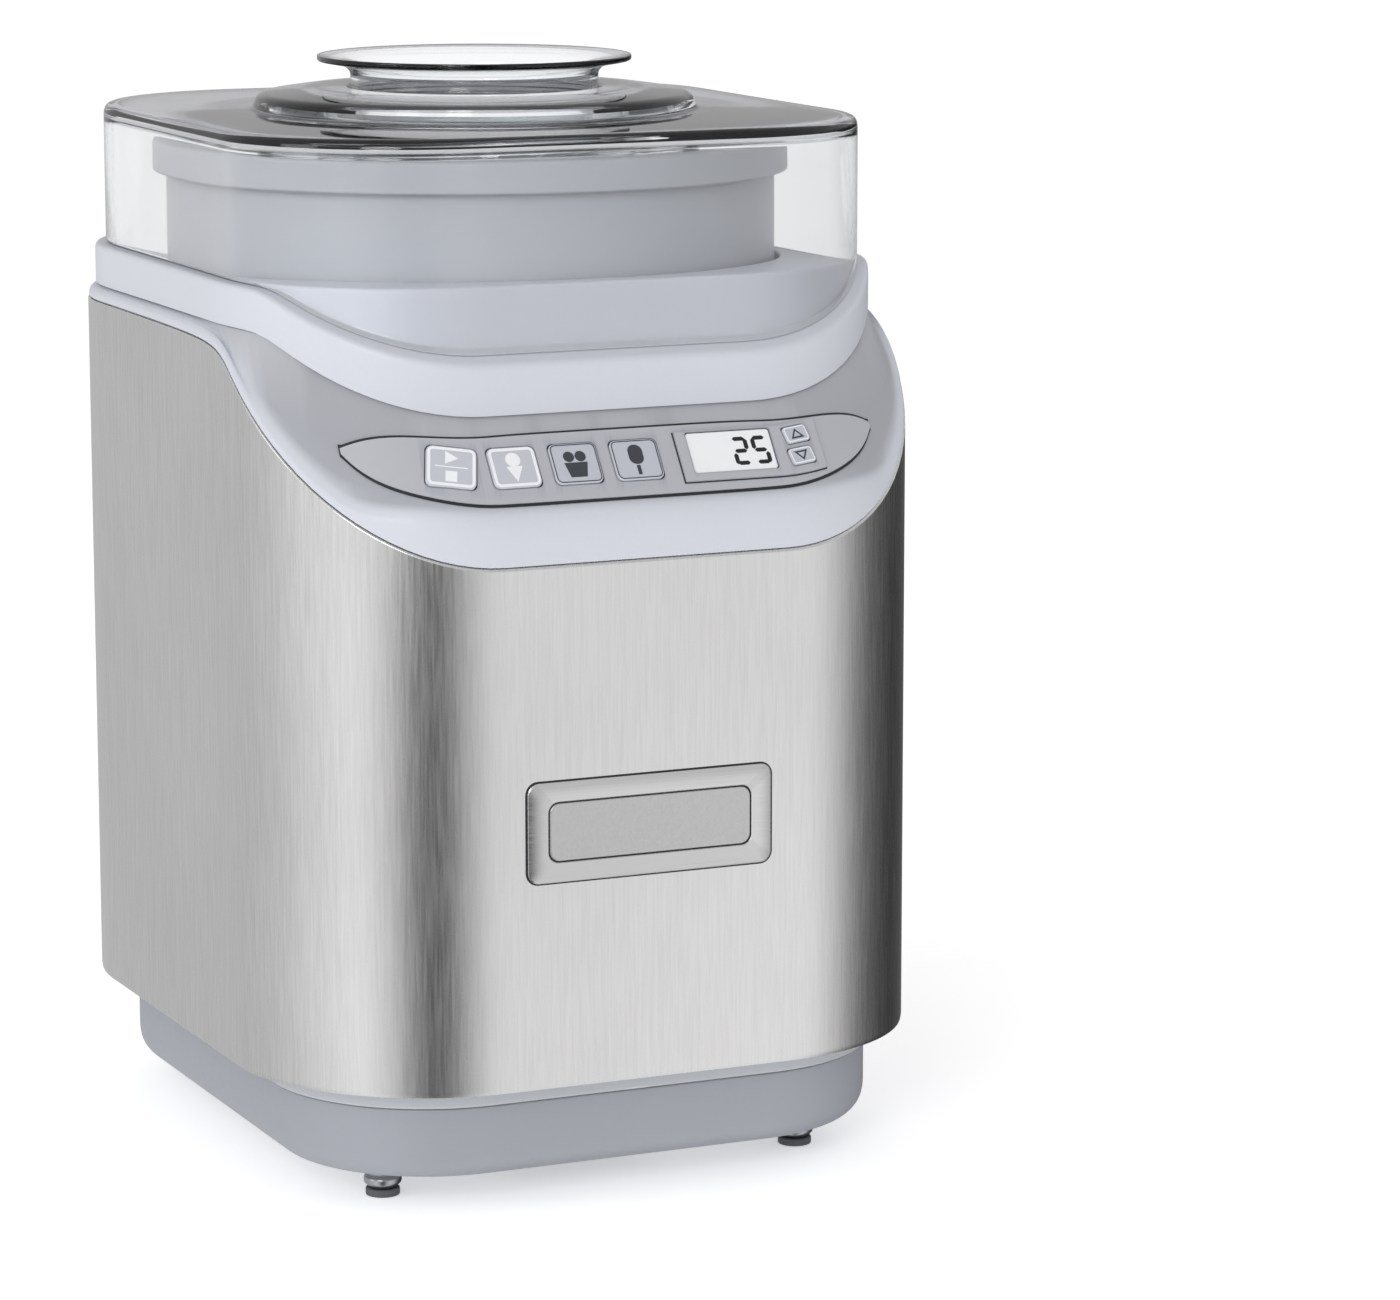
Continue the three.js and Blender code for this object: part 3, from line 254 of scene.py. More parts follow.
def loft_data(rings, closed):
    """Points and faces through the rings. A closed loft joins the last ring to the first,
    and an open one is capped at both ends."""
    count = len(rings[0])
    points = [tuple(p) for r in rings for p in r]
    faces = []
    spans = len(rings) if closed else len(rings) - 1
    for i in range(spans):
        low = i * count
        high = ((i + 1) % len(rings)) * count
        for k in range(count):
            n = (k + 1) % count
            faces.append((low + k, low + n, high + n, high + k))
    if not closed:
        points.append(tuple(np.mean(rings[0], axis=0)))
        points.append(tuple(np.mean(rings[-1], axis=0)))
        last = (len(rings) - 1) * count
        for k in range(count):
            n = (k + 1) % count
            faces.append((len(points) - 2, n, k))
            faces.append((len(points) - 1, last + k, last + n))
    return points, faces


SHARP = math.radians(34)


def piece(name, data, material, body, replaces=(), smooth=True):
    points, faces = data
    mesh = bpy.data.meshes.new(name)
    mesh.from_pydata([Vector(p) * MM for p in points], [], faces)
    mesh.update()
    if smooth:
        mesh.polygons.foreach_set("use_smooth", [True] * len(mesh.polygons))
        mesh.set_sharp_from_angle(angle=SHARP)
    mesh.materials.append(material)
    obj = bpy.data.objects.new(name, mesh)
    scene.collection.objects.link(obj)
    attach(obj, body)
    if replaces:
        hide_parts(*replaces)
    return obj


def turned_data(profile, radii=None, x=0.0, y=BOWL_Y, steps=TURN_STEPS, closed=True):
    """A turned solid. With closed=False the profile starts and ends next to the axis."""
    rings = [circle(r, z, x, y, steps) for r, z in profile]
    return loft_data(soften(rings, radii or {}, closed), closed)


# ------------------------------------------------------------------ materials
def linear(hex_colour):
    values = [int(hex_colour[i : i + 2], 16) / 255 for i in (0, 2, 4)]
    return [v / 12.92 if v <= 0.04045 else ((v + 0.055) / 1.055) ** 2.4 for v in values]


def material(name, colour, roughness, metallic=0.0, grain=(300, 300, 300), variation=0.04,
             rough_spread=0.06, bump=0.05, cloud=12.0, wear=0.0, shaded=0.0):
    """A surface with fine grain, slow colour drift, uneven roughness and worn edges.
    Where its mesh is marked with "shade", it is darker by the share given as shaded."""
    mat = bpy.data.materials.new(name)
    mat.use_nodes = True
    nodes = mat.node_tree.nodes
    link = mat.node_tree.links.new
    shader = nodes["Principled BSDF"]
    shader.inputs["Metallic"].default_value = metallic
    place = nodes.new("ShaderNodeTexCoord")
    scale = nodes.new("ShaderNodeMapping")
    scale.inputs["Scale"].default_value = grain
    link(place.outputs["Object"], scale.inputs["Vector"])
    fine = nodes.new("ShaderNodeTexNoise")
    fine.inputs["Scale"].default_value = 1.0
    fine.inputs["Detail"].default_value = 5.0
    link(scale.outputs["Vector"], fine.inputs["Vector"])
    slow = nodes.new("ShaderNodeTexNoise")
    slow.inputs["Scale"].default_value = cloud
    slow.inputs["Detail"].default_value = 3.0
    link(place.outputs["Object"], slow.inputs["Vector"])

    both = nodes.new("ShaderNodeMath")
    both.operation = "ADD"
    link(fine.outputs["Fac"], both.inputs[0])
    link(slow.outputs["Fac"], both.inputs[1])
    shade = nodes.new("ShaderNodeMapRange")
    shade.inputs["From Min"].default_value = 0.6
    shade.inputs["From Max"].default_value = 1.4
    shade.inputs["To Min"].default_value = 1 - variation
    shade.inputs["To Max"].default_value = 1 + variation
    link(both.outputs[0], shade.inputs["Value"])
    tint = nodes.new("ShaderNodeVectorMath")
    tint.operation = "SCALE"
    tint.inputs[0].default_value = linear(colour)
    if shaded > 0:
        mark = nodes.new("ShaderNodeAttribute")
        mark.attribute_name = "shade"
        deeper = nodes.new("ShaderNodeMapRange")
        deeper.inputs["To Min"].default_value = 1.0
        deeper.inputs["To Max"].default_value = 1 - shaded
        link(mark.outputs["Fac"], deeper.inputs["Value"])
        together = nodes.new("ShaderNodeMath")
        together.operation = "MULTIPLY"
        link(shade.outputs["Result"], together.inputs[0])
        link(deeper.outputs["Result"], together.inputs[1])
        link(together.outputs[0], tint.inputs["Scale"])
    else:
        link(shade.outputs["Result"], tint.inputs["Scale"])
    if wear > 0:
        edge = nodes.new("ShaderNodeNewGeometry")
        pick = nodes.new("ShaderNodeMapRange")
        pick.inputs["From Min"].default_value = 0.52
        pick.inputs["From Max"].default_value = 0.6
        pick.inputs["To Max"].default_value = wear
        link(edge.outputs["Pointiness"], pick.inputs["Value"])
        lighter = nodes.new("ShaderNodeMix")
        lighter.data_type = "RGBA"
        lighter.inputs[7].default_value = (0.9, 0.9, 0.9, 1)
        link(pick.outputs["Result"], lighter.inputs[0])
        link(tint.outputs["Vector"], lighter.inputs[6])
        link(lighter.outputs[2], shader.inputs["Base Color"])
    else:
        link(tint.outputs["Vector"], shader.inputs["Base Color"])

    rough = nodes.new("ShaderNodeMapRange")
    rough.inputs["From Min"].default_value = 0.3
    rough.inputs["From Max"].default_value = 0.7
    rough.inputs["To Min"].default_value = max(roughness - rough_spread, 0.02)
    rough.inputs["To Max"].default_value = roughness + rough_spread
    link(fine.outputs["Fac"], rough.inputs["Value"])
    link(rough.outputs["Result"], shader.inputs["Roughness"])
    relief = nodes.new("ShaderNodeBump")
    relief.inputs["Strength"].default_value = bump
    relief.inputs["Distance"].default_value = 0.0002
    link(fine.outputs["Fac"], relief.inputs["Height"])
    link(relief.outputs["Normal"], shader.inputs["Normal"])
    return mat


def clear_material(name, tint, roughness):
    """Clear plastic that lets lamplight through to what it covers."""
    mat = material(name, tint, roughness, grain=(90, 90, 90), variation=0.004, rough_spread=0.01,
                   bump=0.01)
    nodes = mat.node_tree.nodes
    link = mat.node_tree.links.new
    shader = nodes["Principled BSDF"]
    shader.inputs["Transmission Weight"].default_value = 1.0
    shader.inputs["IOR"].default_value = 1.49
    path = nodes.new("ShaderNodeLightPath")
    open_way = nodes.new("ShaderNodeBsdfTransparent")
    open_way.inputs["Color"].default_value = (0.92, 0.93, 0.94, 1)
    choose = nodes.new("ShaderNodeMixShader")
    link(path.outputs["Is Shadow Ray"], choose.inputs["Fac"])
    link(shader.outputs[0], choose.inputs[1])
    link(open_way.outputs[0], choose.inputs[2])
    link(choose.outputs[0], nodes["Material Output"].inputs["Surface"])
    return mat


MOULDED = dict(grain=(900, 900, 900), bump=0.12, variation=0.015, wear=0.25)
looks = {
    "stainless_wrap": material("brushed_stainless", "e3e2e1", 0.28, 1.0, grain=(1500, 1500, 60),
                               variation=0.13, rough_spread=0.035, bump=0.02, cloud=6.0),
    "housing_plastic": material("housing_plastic", "cdd0d7", 0.42, shaded=0.38, **MOULDED),
    "collar_plastic": material("collar_plastic", "cfd1d9", 0.4, **MOULDED),
    "plinth_plastic": material("plinth_plastic", "9ea1a8", 0.4, **MOULDED),
    "trim_plastic": material("trim_plastic", "bcbfc3", 0.36, **MOULDED),
    "foot_metal": material("foot_metal", "b4b6ba", 0.3, 1.0, grain=(200, 200, 2500)),
    "foot_rubber": material("foot_rubber", "5a5c60", 0.8, bump=0.3, grain=(1200, 1200, 1200)),
    "badge_metal": material("badge_metal", "d0d0cf", 0.3, 1.0, grain=(30, 900, 1800),
                            variation=0.06, bump=0.15, wear=0.4),
    "inlay_metal": material("inlay_metal", "d2d2d2", 0.42, 1.0, grain=(1200, 1200, 1200),
                            variation=0.05, bump=0.3),
    "membrane_film": material("membrane_film", "999ca5", 0.42, **MOULDED),
    "display_glass": material("display_glass", "f3f5f6", 0.18, grain=(400, 400, 400),
                              variation=0.01, bump=0.02),
    "lit_key": material("lit_key", "c3c6cd", 0.45, **MOULDED),
    "grey_key": material("grey_key", "bfc2cb", 0.45, **MOULDED),
    "circuit_board": material("circuit_board", "2d6a3e", 0.45, grain=(500, 60, 500), bump=0.3,
                              variation=0.12),
    "black_plastic": material("black_plastic", "303236", 0.5, **MOULDED),
    "plain_steel": material("plain_steel", "a6a8ab", 0.34, 1.0, grain=(700, 700, 60),
                            variation=0.06, wear=0.3),
    "lamination_steel": material("lamination_steel", "76787c", 0.42, 1.0, grain=(15, 15, 1800),
                                 variation=0.15, bump=0.6),
    "bronze_bush": material("bronze_bush", "b08a4c", 0.4, 1.0, grain=(900, 900, 900),
                            variation=0.08, bump=0.3),
    "coil_winding": material("coil_winding", "a5562c", 0.32, 1.0, grain=(60, 2500, 2500),
                             variation=0.2, bump=0.8),
    "gear_nylon": material("gear_nylon", "dedbd0", 0.5, **MOULDED),
    "bowl_plastic": material("bowl_plastic", "b9bbc0", 0.42, **MOULDED),
    "bowl_aluminium": material("bowl_aluminium", "d9dadb", 0.3, 1.0, grain=(80, 80, 1800),
                               variation=0.05, bump=0.2),
    "coolant_gel": material("coolant_gel", "a5c6da", 0.3, grain=(60, 60, 60), bump=0.2),
    "paddle_plastic": material("paddle_plastic", "ecedec", 0.4, **MOULDED),
    "clear_plastic": clear_material("clear_plastic", "fbfcfd", 0.03),
}
# Clear plastic tinted darker, for painted shade on the lid's top faces.
lid_top_painted_shade = clear_material("lid_top_painted_shade", "9fa0a4", 0.03)
# Pale opaque surface for the lid's foot: painted light over the shadow line at the foot's gap.
lid_foot_painted_light = material("lid_foot_painted_light", "d6d8dd", 0.6, bump=0.1)
# Near-black surface for thin sheets that paint shade along seams and in recesses.
seam_painted_shade = material("seam_painted_shade", "232529", 0.6, bump=0.1)
print_white = material("print_white", "f2f4f6", 0.5, bump=0.05)
print_dark = material("print_dark", "3a3d45", 0.5, bump=0.05)
digit_black = material("digit_black", "101114", 0.4, bump=0.05)

for entry in frame["record"]["subparts"]:
    node = frame["nodes"][entry["node"]]
    node.data.materials.clear()
    node.data.materials.append(looks[entry["material_slot"]])
    rounding = node.modifiers.new("rounding", "BEVEL")
    rounding.width = 0.3 * MM
    rounding.segments = 2
    rounding.limit_method = "ANGLE"
    rounding.angle_limit = math.radians(35)


def built(name, data, slot, body="base", replaces=(), smooth=True, finish=None):
    return piece(name, data, finish or looks[slot], body, replaces, smooth)


# ------------------------------------------------------------------ body shells
def make_wrap():
    inner = body_plan.inset(1.0)
    low = wrap_low.z
    rings = [
        ring(body_plan.inset(1.0), low),
        ring(body_plan.inset(0.25), low),
        ring(body_plan, low + 0.9),
        ring(body_plan, shoulder),
        ring(inner, shoulder),
    ]
    rounded = soften(rings, {2: 0.8, 3: 0.35, 4: 0.3}, True)
    built("wrap_skin", loft_data(rounded, True), "stainless_wrap", replaces=["metal_wrap"])


def make_housing():
    tongue = body_plan.inset(1.3)
    lip = ring(lip_plan, lip_top)
    under = ring(under_band_plan, lambda y: band_bottom(y) - GAP)
    rings = [
        ring(tongue, lambda y: shoulder(y) - 12),
        ring(tongue, lambda y: shoulder(y) + 0.35),
        ring(body_plan.inset(0.2), lambda y: shoulder(y) + 0.35),
        ring(body_plan.inset(0.35), lambda y: shoulder(y) + 0.7 * (lip_top(y) - shoulder(y))),
        lip,
        lip + (under - lip) * 0.2,
        lip + (under - lip) * 0.3,
        under,
        ring(under_band_plan.inset(WALL), lambda y: band_bottom(y) - GAP),
        ring(lip_plan.inset(WALL + 0.8), lambda y: lip_top(y) - WALL),
        ring(tongue.inset(WALL), lambda y: shoulder(y) - WALL),
        ring(tongue.inset(WALL), lambda y: shoulder(y) - 12),
    ]
    rounded = soften(rings, {2: 0.5, 3: 6.0, 4: 3.0}, True, 5)
    return built("housing_shell", loft_data(rounded, True), "housing_plastic",
                 replaces=["upper_housing"])


def shade_slope(housing):
    """Marks the slope over the lip, where the collar keeps the light off."""
    mark = housing.data.attributes.new("shade", "FLOAT", "POINT")
    for i, vertex in enumerate(housing.data.vertices):
        y, z = vertex.co.y / MM, vertex.co.z / MM
        mark.data[i].value = smooth_step((z - lip_top(y)) / 2.6)


def make_collar():
    opening = (well_high.x - 2) - 1.0
    thickness = 3.0
    deck_inner = deck_plan.inset(2.0)
    band_inner = band_plan.inset(WALL)

    def ledge(y):
        return band_top(y) - 3.2

    rings = [
        ring(band_plan, band_bottom),
        ring(band_plan, band_top),
        ring(deck_plan, band_top),
        ring(deck_plan, DECK),
        round_ring(deck_plan, opening, DECK),
        round_ring(deck_plan, opening, DECK - thickness),
        ring(deck_inner, DECK - thickness),
        ring(deck_inner, ledge),
        ring(band_inner, ledge),
        ring(band_inner, band_bottom),
    ]
    rounded = soften(rings, {0: 0.6, 1: 1.6, 2: 0.4, 3: 1.2, 4: 0.7}, True, 5)
    built("collar_shell", loft_data(rounded, True), "collar_plastic", replaces=["deck_collar"])


def make_well():
    outer = well_high.x
    inner = outer - 2
    bottom, top = well_low.z, well_high.z
    floor = bottom + 3
    hole = 9.0
    profile = [(hole, bottom), (outer - 6, bottom), (outer, bottom + 6), (outer, top),
               (inner, top), (inner, floor + 5), (inner - 5, floor), (hole, floor)]
    built("well_liner", turned_data(profile, {2: 2, 5: 3, 6: 3}), "collar_plastic",
          replaces=["bowl_well"])


def make_plinth():
    bottom, top = plinth_low.z, plinth_high.z
    inner = plinth_plan.inset(WALL)
    rings = [
        ring(plinth_plan.inset(9), bottom),
        ring(plinth_plan.inset(3.6), bottom),
        ring(plinth_plan, bottom + 4.2),
        ring(plinth_plan, top),
        ring(inner, top),
        ring(inner, bottom + 3),
    ]
    rounded = soften(rings, {1: 3.5, 2: 4.0, 3: 0.5}, False, 5)
    tray = built("plinth_shell", loft_data(rounded, False), "plinth_plastic",
                 replaces=["plinth_tray"])
    gland_low, gland_high = box_mm("cord_gland")
    cutters = []
    middle = (gland_low + gland_high) / 2
    bore = circle(5.8, 0, 0, 0, 48)
    rings = []
    for y in (plinth_high.y + 8, plinth_high.y - 8):
        rings.append(np.array([(middle.x + p[0], y, middle.z + p[1]) for p in bore]))
    cutters.append(loft_data(rings, False))
    fan_low, fan_high = box_mm("motor_fan")
    fan = (fan_low + fan_high) / 2
    front, rear = fan.y - VENT_LENGTH / 2, fan.y + VENT_LENGTH / 2
    for place in VENT_PLACES:
        left = fan.x + place * VENT_PITCH - VENT_WIDTH / 2
        right = left + VENT_WIDTH
        slot = [(left, front), (right, front), (right, rear), (left, rear)]
        cutters.append(loft_data([flat_ring(slot, z) for z in (bottom - 2, bottom + 5)], False))
    cut(tray, cutters)


def make_trim():
    low = trim_low.z
    flange = body_plan.inset(1.3)
    shelf = trim_high.z - 3
    rings = [
        ring(trim_plan, low),
        ring(trim_plan, low + 5),
        ring(flange, shelf),
        ring(flange, trim_high.z),
        ring(body_plan.inset(14), trim_high.z),
        ring(body_plan.inset(14), low),
    ]
    rounded = soften(rings, {0: 0.8, 1: 1.6}, True, 5)
    built("trim_shell", loft_data(rounded, True), "trim_plastic", replaces=["trim_frame"])


def cut(obj, cutters):
    """Cut solids, given as loft data, out of a piece and keep the result as its mesh."""
    tools = []
    for data in cutters:
        mesh = bpy.data.meshes.new("cutter")
        mesh.from_pydata([Vector(p) * MM for p in data[0]], [], data[1])
        mesh.update()
        tool = bpy.data.objects.new("cutter", mesh)
        scene.collection.objects.link(tool)
        change = obj.modifiers.new("cut", "BOOLEAN")
        change.operation = "DIFFERENCE"
        change.object = tool
        tools.append(tool)
    graph = bpy.context.evaluated_depsgraph_get()
    graph.update()
    done = bpy.data.meshes.new_from_object(obj.evaluated_get(graph))
    obj.modifiers.clear()
    obj.data = done
    obj.data.polygons.foreach_set("use_smooth", [True] * len(obj.data.polygons))
    obj.data.set_sharp_from_angle(angle=SHARP)
    for tool in tools:
        bpy.data.objects.remove(tool)


# ------------------------------------------------------------------ the control slope
KEY_LEVEL = 0.47
KEY_PITCH = 16.8
FIRST_KEY = -50.0
KEY_SIZE = (13.0, 11.6)
KEY_CORNER = 1.8
ARROW_AT = 46.3
ARROW_SIZE = (7.0, 4.7)
WINDOW_AT = 27.1
WINDOW_LEVEL = 0.49
WINDOW_SIZE = (23.4, 11.6)
MEMBRANE_MIDDLE = -2.0
MEMBRANE_HALF = 77.0
FILM = 0.4
KEY_TOP = GAP + FILM + 0.4
BEZEL_OFFSET = 2 * GAP + FILM
BEZEL = 0.5
ARROW_TOP = BEZEL_OFFSET + BEZEL + 0.4
WINDOW_TOP = BEZEL_OFFSET + 0.2
ARROW_LEVELS = {"up": 0.585, "down": 0.375}
INK = 0.06
HOLE_DEPTH = 12.0

# Levels run from 0 at the slope's foot to 1 at its top.
MEMBRANE_LOW, LOW_RISE, LOW_POWER = 0.13, 0.26, 6
MEMBRANE_HIGH, HIGH_DROP, HIGH_POWER = 0.78, 0.35, 5
MEMBRANE_STEPS = 120
MEMBRANE_SEAM = 0.5
MEMBRANE_SEAM_LEVEL = 0.025
BEZEL_START, BEZEL_END = 12.3, 53.0
BEZEL_LOW, BEZEL_HIGH = 0.22, 0.7
BEZEL_STEPS = 40
BEZEL_SEAM = 0.4
BEZEL_SEAM_LOW, BEZEL_SEAM_HIGH = 0.207, 0.709


def along_front(plan, along):
    """The point of a plan's outline at a distance along the front from its middle."""
    flat = plan.width / 2 - plan.corner
    past = max(abs(along) - flat, 0.0)
    angle = min(past / CORNER, math.pi / 2)
    x = math.copysign(min(abs(along), flat) + plan.corner * math.sin(angle), along)
    return x, plan.middle - plan.depth / 2 + plan.corner * (1 - math.cos(angle))


def slope_at(along, level):
    """A point of the control slope, between the lip and the collar's band."""
    x0, y0 = along_front(lip_plan, along)
    x1, y1 = along_front(under_band_plan, along)
    low = Vector((x0, y0, lip_top(y0)))
    high = Vector((x1, y1, band_bottom(y1) - GAP))
    return low.lerp(high, level)


def slope_frame(along, level):
    """A matrix whose x runs along the slope, y up it and z out of it."""
    tangent = (slope_at(along + 0.5, level) - slope_at(along - 0.5, level)).normalized()
    upward = (slope_at(along, 1) - slope_at(along, 0)).normalized()
    normal = tangent.cross(upward).normalized()
    upward = normal.cross(tangent)
    turn = Matrix((tangent, upward, normal)).transposed().to_4x4()
    return Matrix.Translation(slope_at(along, level)) @ turn


def rounded_outline(width, height, corner, steps=6):
    points = []
    centres = [(1, 1), (-1, 1), (-1, -1), (1, -1)]
    for quarter, (sx, sy) in enumerate(centres):
        for i in range(steps + 1):
            angle = (quarter + i / steps) * math.pi / 2
            x = sx * (width / 2 - corner) + corner * math.cos(angle)
            y = sy * (height / 2 - corner) + corner * math.sin(angle)
            points.append((x, y))
    return points


def placed(data, matrix):
    points, faces = data
    return [tuple(matrix @ Vector(p)) for p in points], faces


def flat_ring(shape, z):
    return np.array([(x, y, z) for x, y in shape])


def slab(width, height, corner, low, high, edge=0.0):
    """A flat pad with a rounded upper edge."""
    shape = rounded_outline(width, height, corner)
    rings = [flat_ring(shape, low), flat_ring(shape, high - edge)]
    if edge > 0:
        for turn in (30, 60, 90):
            angle = math.radians(turn)
            shrink = edge * (1 - math.cos(angle))
            smaller = rounded_outline(width - 2 * shrink, height - 2 * shrink, corner)
            rings.append(flat_ring(smaller, high - edge + edge * math.sin(angle)))
        rings.append(flat_ring(rounded_outline(width - 3 * edge, height - 3 * edge, corner), high))
    else:
        rings.append(flat_ring(shape, high))
    return loft_data(rings, False)


def frame_band(width, height, corner, band, low, high):
    outer = rounded_outline(width, height, corner)
    inner = rounded_outline(width - 2 * band, height - 2 * band, max(corner - band, 0.2))
    rings = [flat_ring(outer, low), flat_ring(outer, high), flat_ring(inner, high),
             flat_ring(inner, low)]
    return loft_data(rings, True)


def plate(shape, low, high):
    """A thin plate from an anticlockwise outline that is star-shaped about its middle."""
    return loft_data([flat_ring(shape, low), flat_ring(shape, high)], False)


def joined(*parts):
    points, faces = [], []
    for part_points, part_faces in parts:
        start = len(points)
        points += part_points
        faces += [tuple(start + i for i in face) for face in part_faces]
    return points, faces


def shifted(data, x, y):
    points, faces = data
    return [(p[0] + x, p[1] + y, p[2]) for p in points], faces


def slope_sheet(start, end, low, high, offset, thickness, steps):
    """A sheet that follows the slope between two levels, which are functions of the place."""
    rings = []
    for i in range(steps + 1):
        along = start + (end - start) * i / steps
        section = []
        for level, rise in ((low(along), offset), (high(along), offset),
                            (high(along), offset + thickness), (low(along), offset + thickness)):
            out = slope_frame(along, level).to_3x3() @ Vector((0, 0, rise))
            section.append(tuple(slope_at(along, level) + out))
        rings.append(np.array(section))
    return loft_data(rings, False)


def membrane_end(along):
    """0 at the membrane's middle and 1 at either end."""
    return min(abs((along - MEMBRANE_MIDDLE) / MEMBRANE_HALF), 1.0)


def membrane_low(along):
    return MEMBRANE_LOW + LOW_RISE * membrane_end(along) ** LOW_POWER


def membrane_high(along):
    return MEMBRANE_HIGH - HIGH_DROP * membrane_end(along) ** HIGH_POWER


def control_holes():
    places = [(KEY_SIZE, KEY_CORNER, FIRST_KEY + i * KEY_PITCH, KEY_LEVEL) for i in range(4)]
    places += [(ARROW_SIZE, 1.0, ARROW_AT, level) for level in ARROW_LEVELS.values()]
    places.append((WINDOW_SIZE, 1.0, WINDOW_AT, WINDOW_LEVEL))
    holes = []
    for (width, height), corner, along, level in places:
        hole = slab(width + 2 * GAP, height + 2 * GAP, corner, -HOLE_DEPTH, HOLE_DEPTH)
        holes.append(placed(hole, slope_frame(along, level)))
    return holes


def icon_start_stop():
    triangle = plate([(-1.6, 0.8), (1.8, 2.6), (-1.6, 4.4)], 0, INK)
    divider = plate([(-4.2, -0.15), (4.2, -0.15), (4.2, 0.15), (-4.2, 0.15)], 0, INK)
    square = plate([(-1.5, -4.2), (1.5, -4.2), (1.5, -1.2), (-1.5, -1.2)], 0, INK)
    return joined(triangle, divider, square)


def disc(x, y, radius):
    return shifted(plate([(p[0], p[1]) for p in circle(radius, 0, 0, 0, 32)], 0, INK), x, y)


def icon_cone():
    cone = plate([(0, -4.2), (2.2, 0.2), (-2.2, 0.2)], 0, INK)
    return joined(cone, disc(0, 2.1, 2.0))


def icon_cup():
    cup = plate([(-2.2, -4.0), (2.2, -4.0), (3.2, 0.2), (-3.2, 0.2)], 0, INK)
    return joined(cup, disc(-1.6, 1.9, 1.5), disc(1.6, 1.9, 1.5))


def icon_pop():
    body = shifted(plate(rounded_outline(4.0, 5.6, 1.9), 0, INK), 0, 1.4)
    stick = plate([(-0.5, -4.4), (0.5, -4.4), (0.5, -1.7), (-0.5, -1.7)], 0, INK)
    return joined(body, stick)


def make_keys():
    keys = [("start_stop", icon_start_stop, True), ("ice_cream", icon_cone, True),
            ("gelato", icon_cup, False), ("sorbet", icon_pop, False)]
    for i, (name, icon, lit) in enumerate(keys):
        place = slope_frame(FIRST_KEY + i * KEY_PITCH, KEY_LEVEL)
        body = name + "_button"
        slot = "lit_key" if lit else "grey_key"
        ink = print_white if lit else print_dark
        cap = slab(KEY_SIZE[0], KEY_SIZE[1], KEY_CORNER, KEY_TOP - 2.2, KEY_TOP, 0.3)
        built(name + "_cap", placed(cap, place), slot, body, [name + "_key"])
        rim = frame_band(KEY_SIZE[0] - 0.7, KEY_SIZE[1] - 0.7, KEY_CORNER - 0.3,
                         0.75 if lit else 0.26, KEY_TOP - 0.02, KEY_TOP + INK)
        built(name + "_rim", placed(rim, place), slot, body, finish=ink)
        lifted = Matrix.Translation((0, 0, KEY_TOP - 0.01))
        built(name + "_mark", placed(icon(), place @ lifted), slot, body, finish=ink)


def make_arrows():
    width, height = ARROW_SIZE
    for name, level in ARROW_LEVELS.items():
        place = slope_frame(ARROW_AT, level)
        body = f"time_{name}_button"
        cap = slab(width, height, 0.9, ARROW_TOP - 2.2, ARROW_TOP, 0.25)
        built(f"time_{name}_cap", placed(cap, place), "grey_key", body, [f"time_{name}_key"])
        rim = frame_band(width - 0.5, height - 0.5, 0.7, 0.3, ARROW_TOP - 0.02, ARROW_TOP + INK)
        built(f"time_{name}_rim", placed(rim, place), "grey_key", body, finish=print_white)
        tip = 1 if name == "up" else -1
        outer = [(-2.0, -1.3 * tip), (2.0, -1.3 * tip), (0, 1.5 * tip)]
        inner = [(-1.15, -0.85 * tip), (1.15, -0.85 * tip), (0, 0.8 * tip)]
        if tip < 0:
            outer.reverse()
            inner.reverse()
        rings = [flat_ring(outer, -0.01), flat_ring(outer, INK), flat_ring(inner, INK),
                 flat_ring(inner, -0.01)]
        mark = placed(loft_data(rings, True), place @ Matrix.Translation((0, 0, ARROW_TOP)))
        built(f"time_{name}_mark", mark, "grey_key", body, finish=print_dark)


DIGITS = {"2": "abged", "5": "afgcd"}


def segment(name, width, height, stroke):
    """One bar of a seven-bar digit about its own middle, with pointed ends."""
    half_w, half_h, s = width / 2, height / 2, stroke / 2
    across = [(-half_w + s, 0), (-half_w + 2 * s, -s), (half_w - 2 * s, -s), (half_w - s, 0),
              (half_w - 2 * s, s), (-half_w + 2 * s, s)]
    upright = [(0, s * 0.4), (s, 2 * s * 0.7), (s, half_h - 2 * s), (0, half_h - s),
               (-s, half_h - 2 * s), (-s, 2 * s * 0.7)]
    if name in "agd":
        lift = {"a": half_h - s, "g": 0, "d": -half_h + s}[name]
        return [(x, y + lift) for x, y in across]
    side = half_w - s if name in "bc" else -half_w + s
    if name in "bf":
        return [(x + side, y) for x, y in upright]
    return [(x + side, y - half_h) for x, y in upright]


def make_display():
    place = slope_frame(WINDOW_AT, WINDOW_LEVEL)
    glass = slab(WINDOW_SIZE[0], WINDOW_SIZE[1], 0.8, WINDOW_TOP - 2.2, WINDOW_TOP, 0.2)
    built("display_pane", placed(glass, place), "display_glass", replaces=["display_window"])
    parts = []
    width, height, stroke = 4.6, 8.2, 1.15
    for digit, x in (("2", 2.6), ("5", 8.2)):
        for bar in DIGITS[digit]:
            parts.append(shifted(plate(segment(bar, width, height, stroke), 0, INK), x, -0.2))
    lifted = place @ Matrix.Translation((0, 0, WINDOW_TOP - 0.01))
    built("display_digits", placed(joined(*parts), lifted), "display_glass", finish=digit_black)


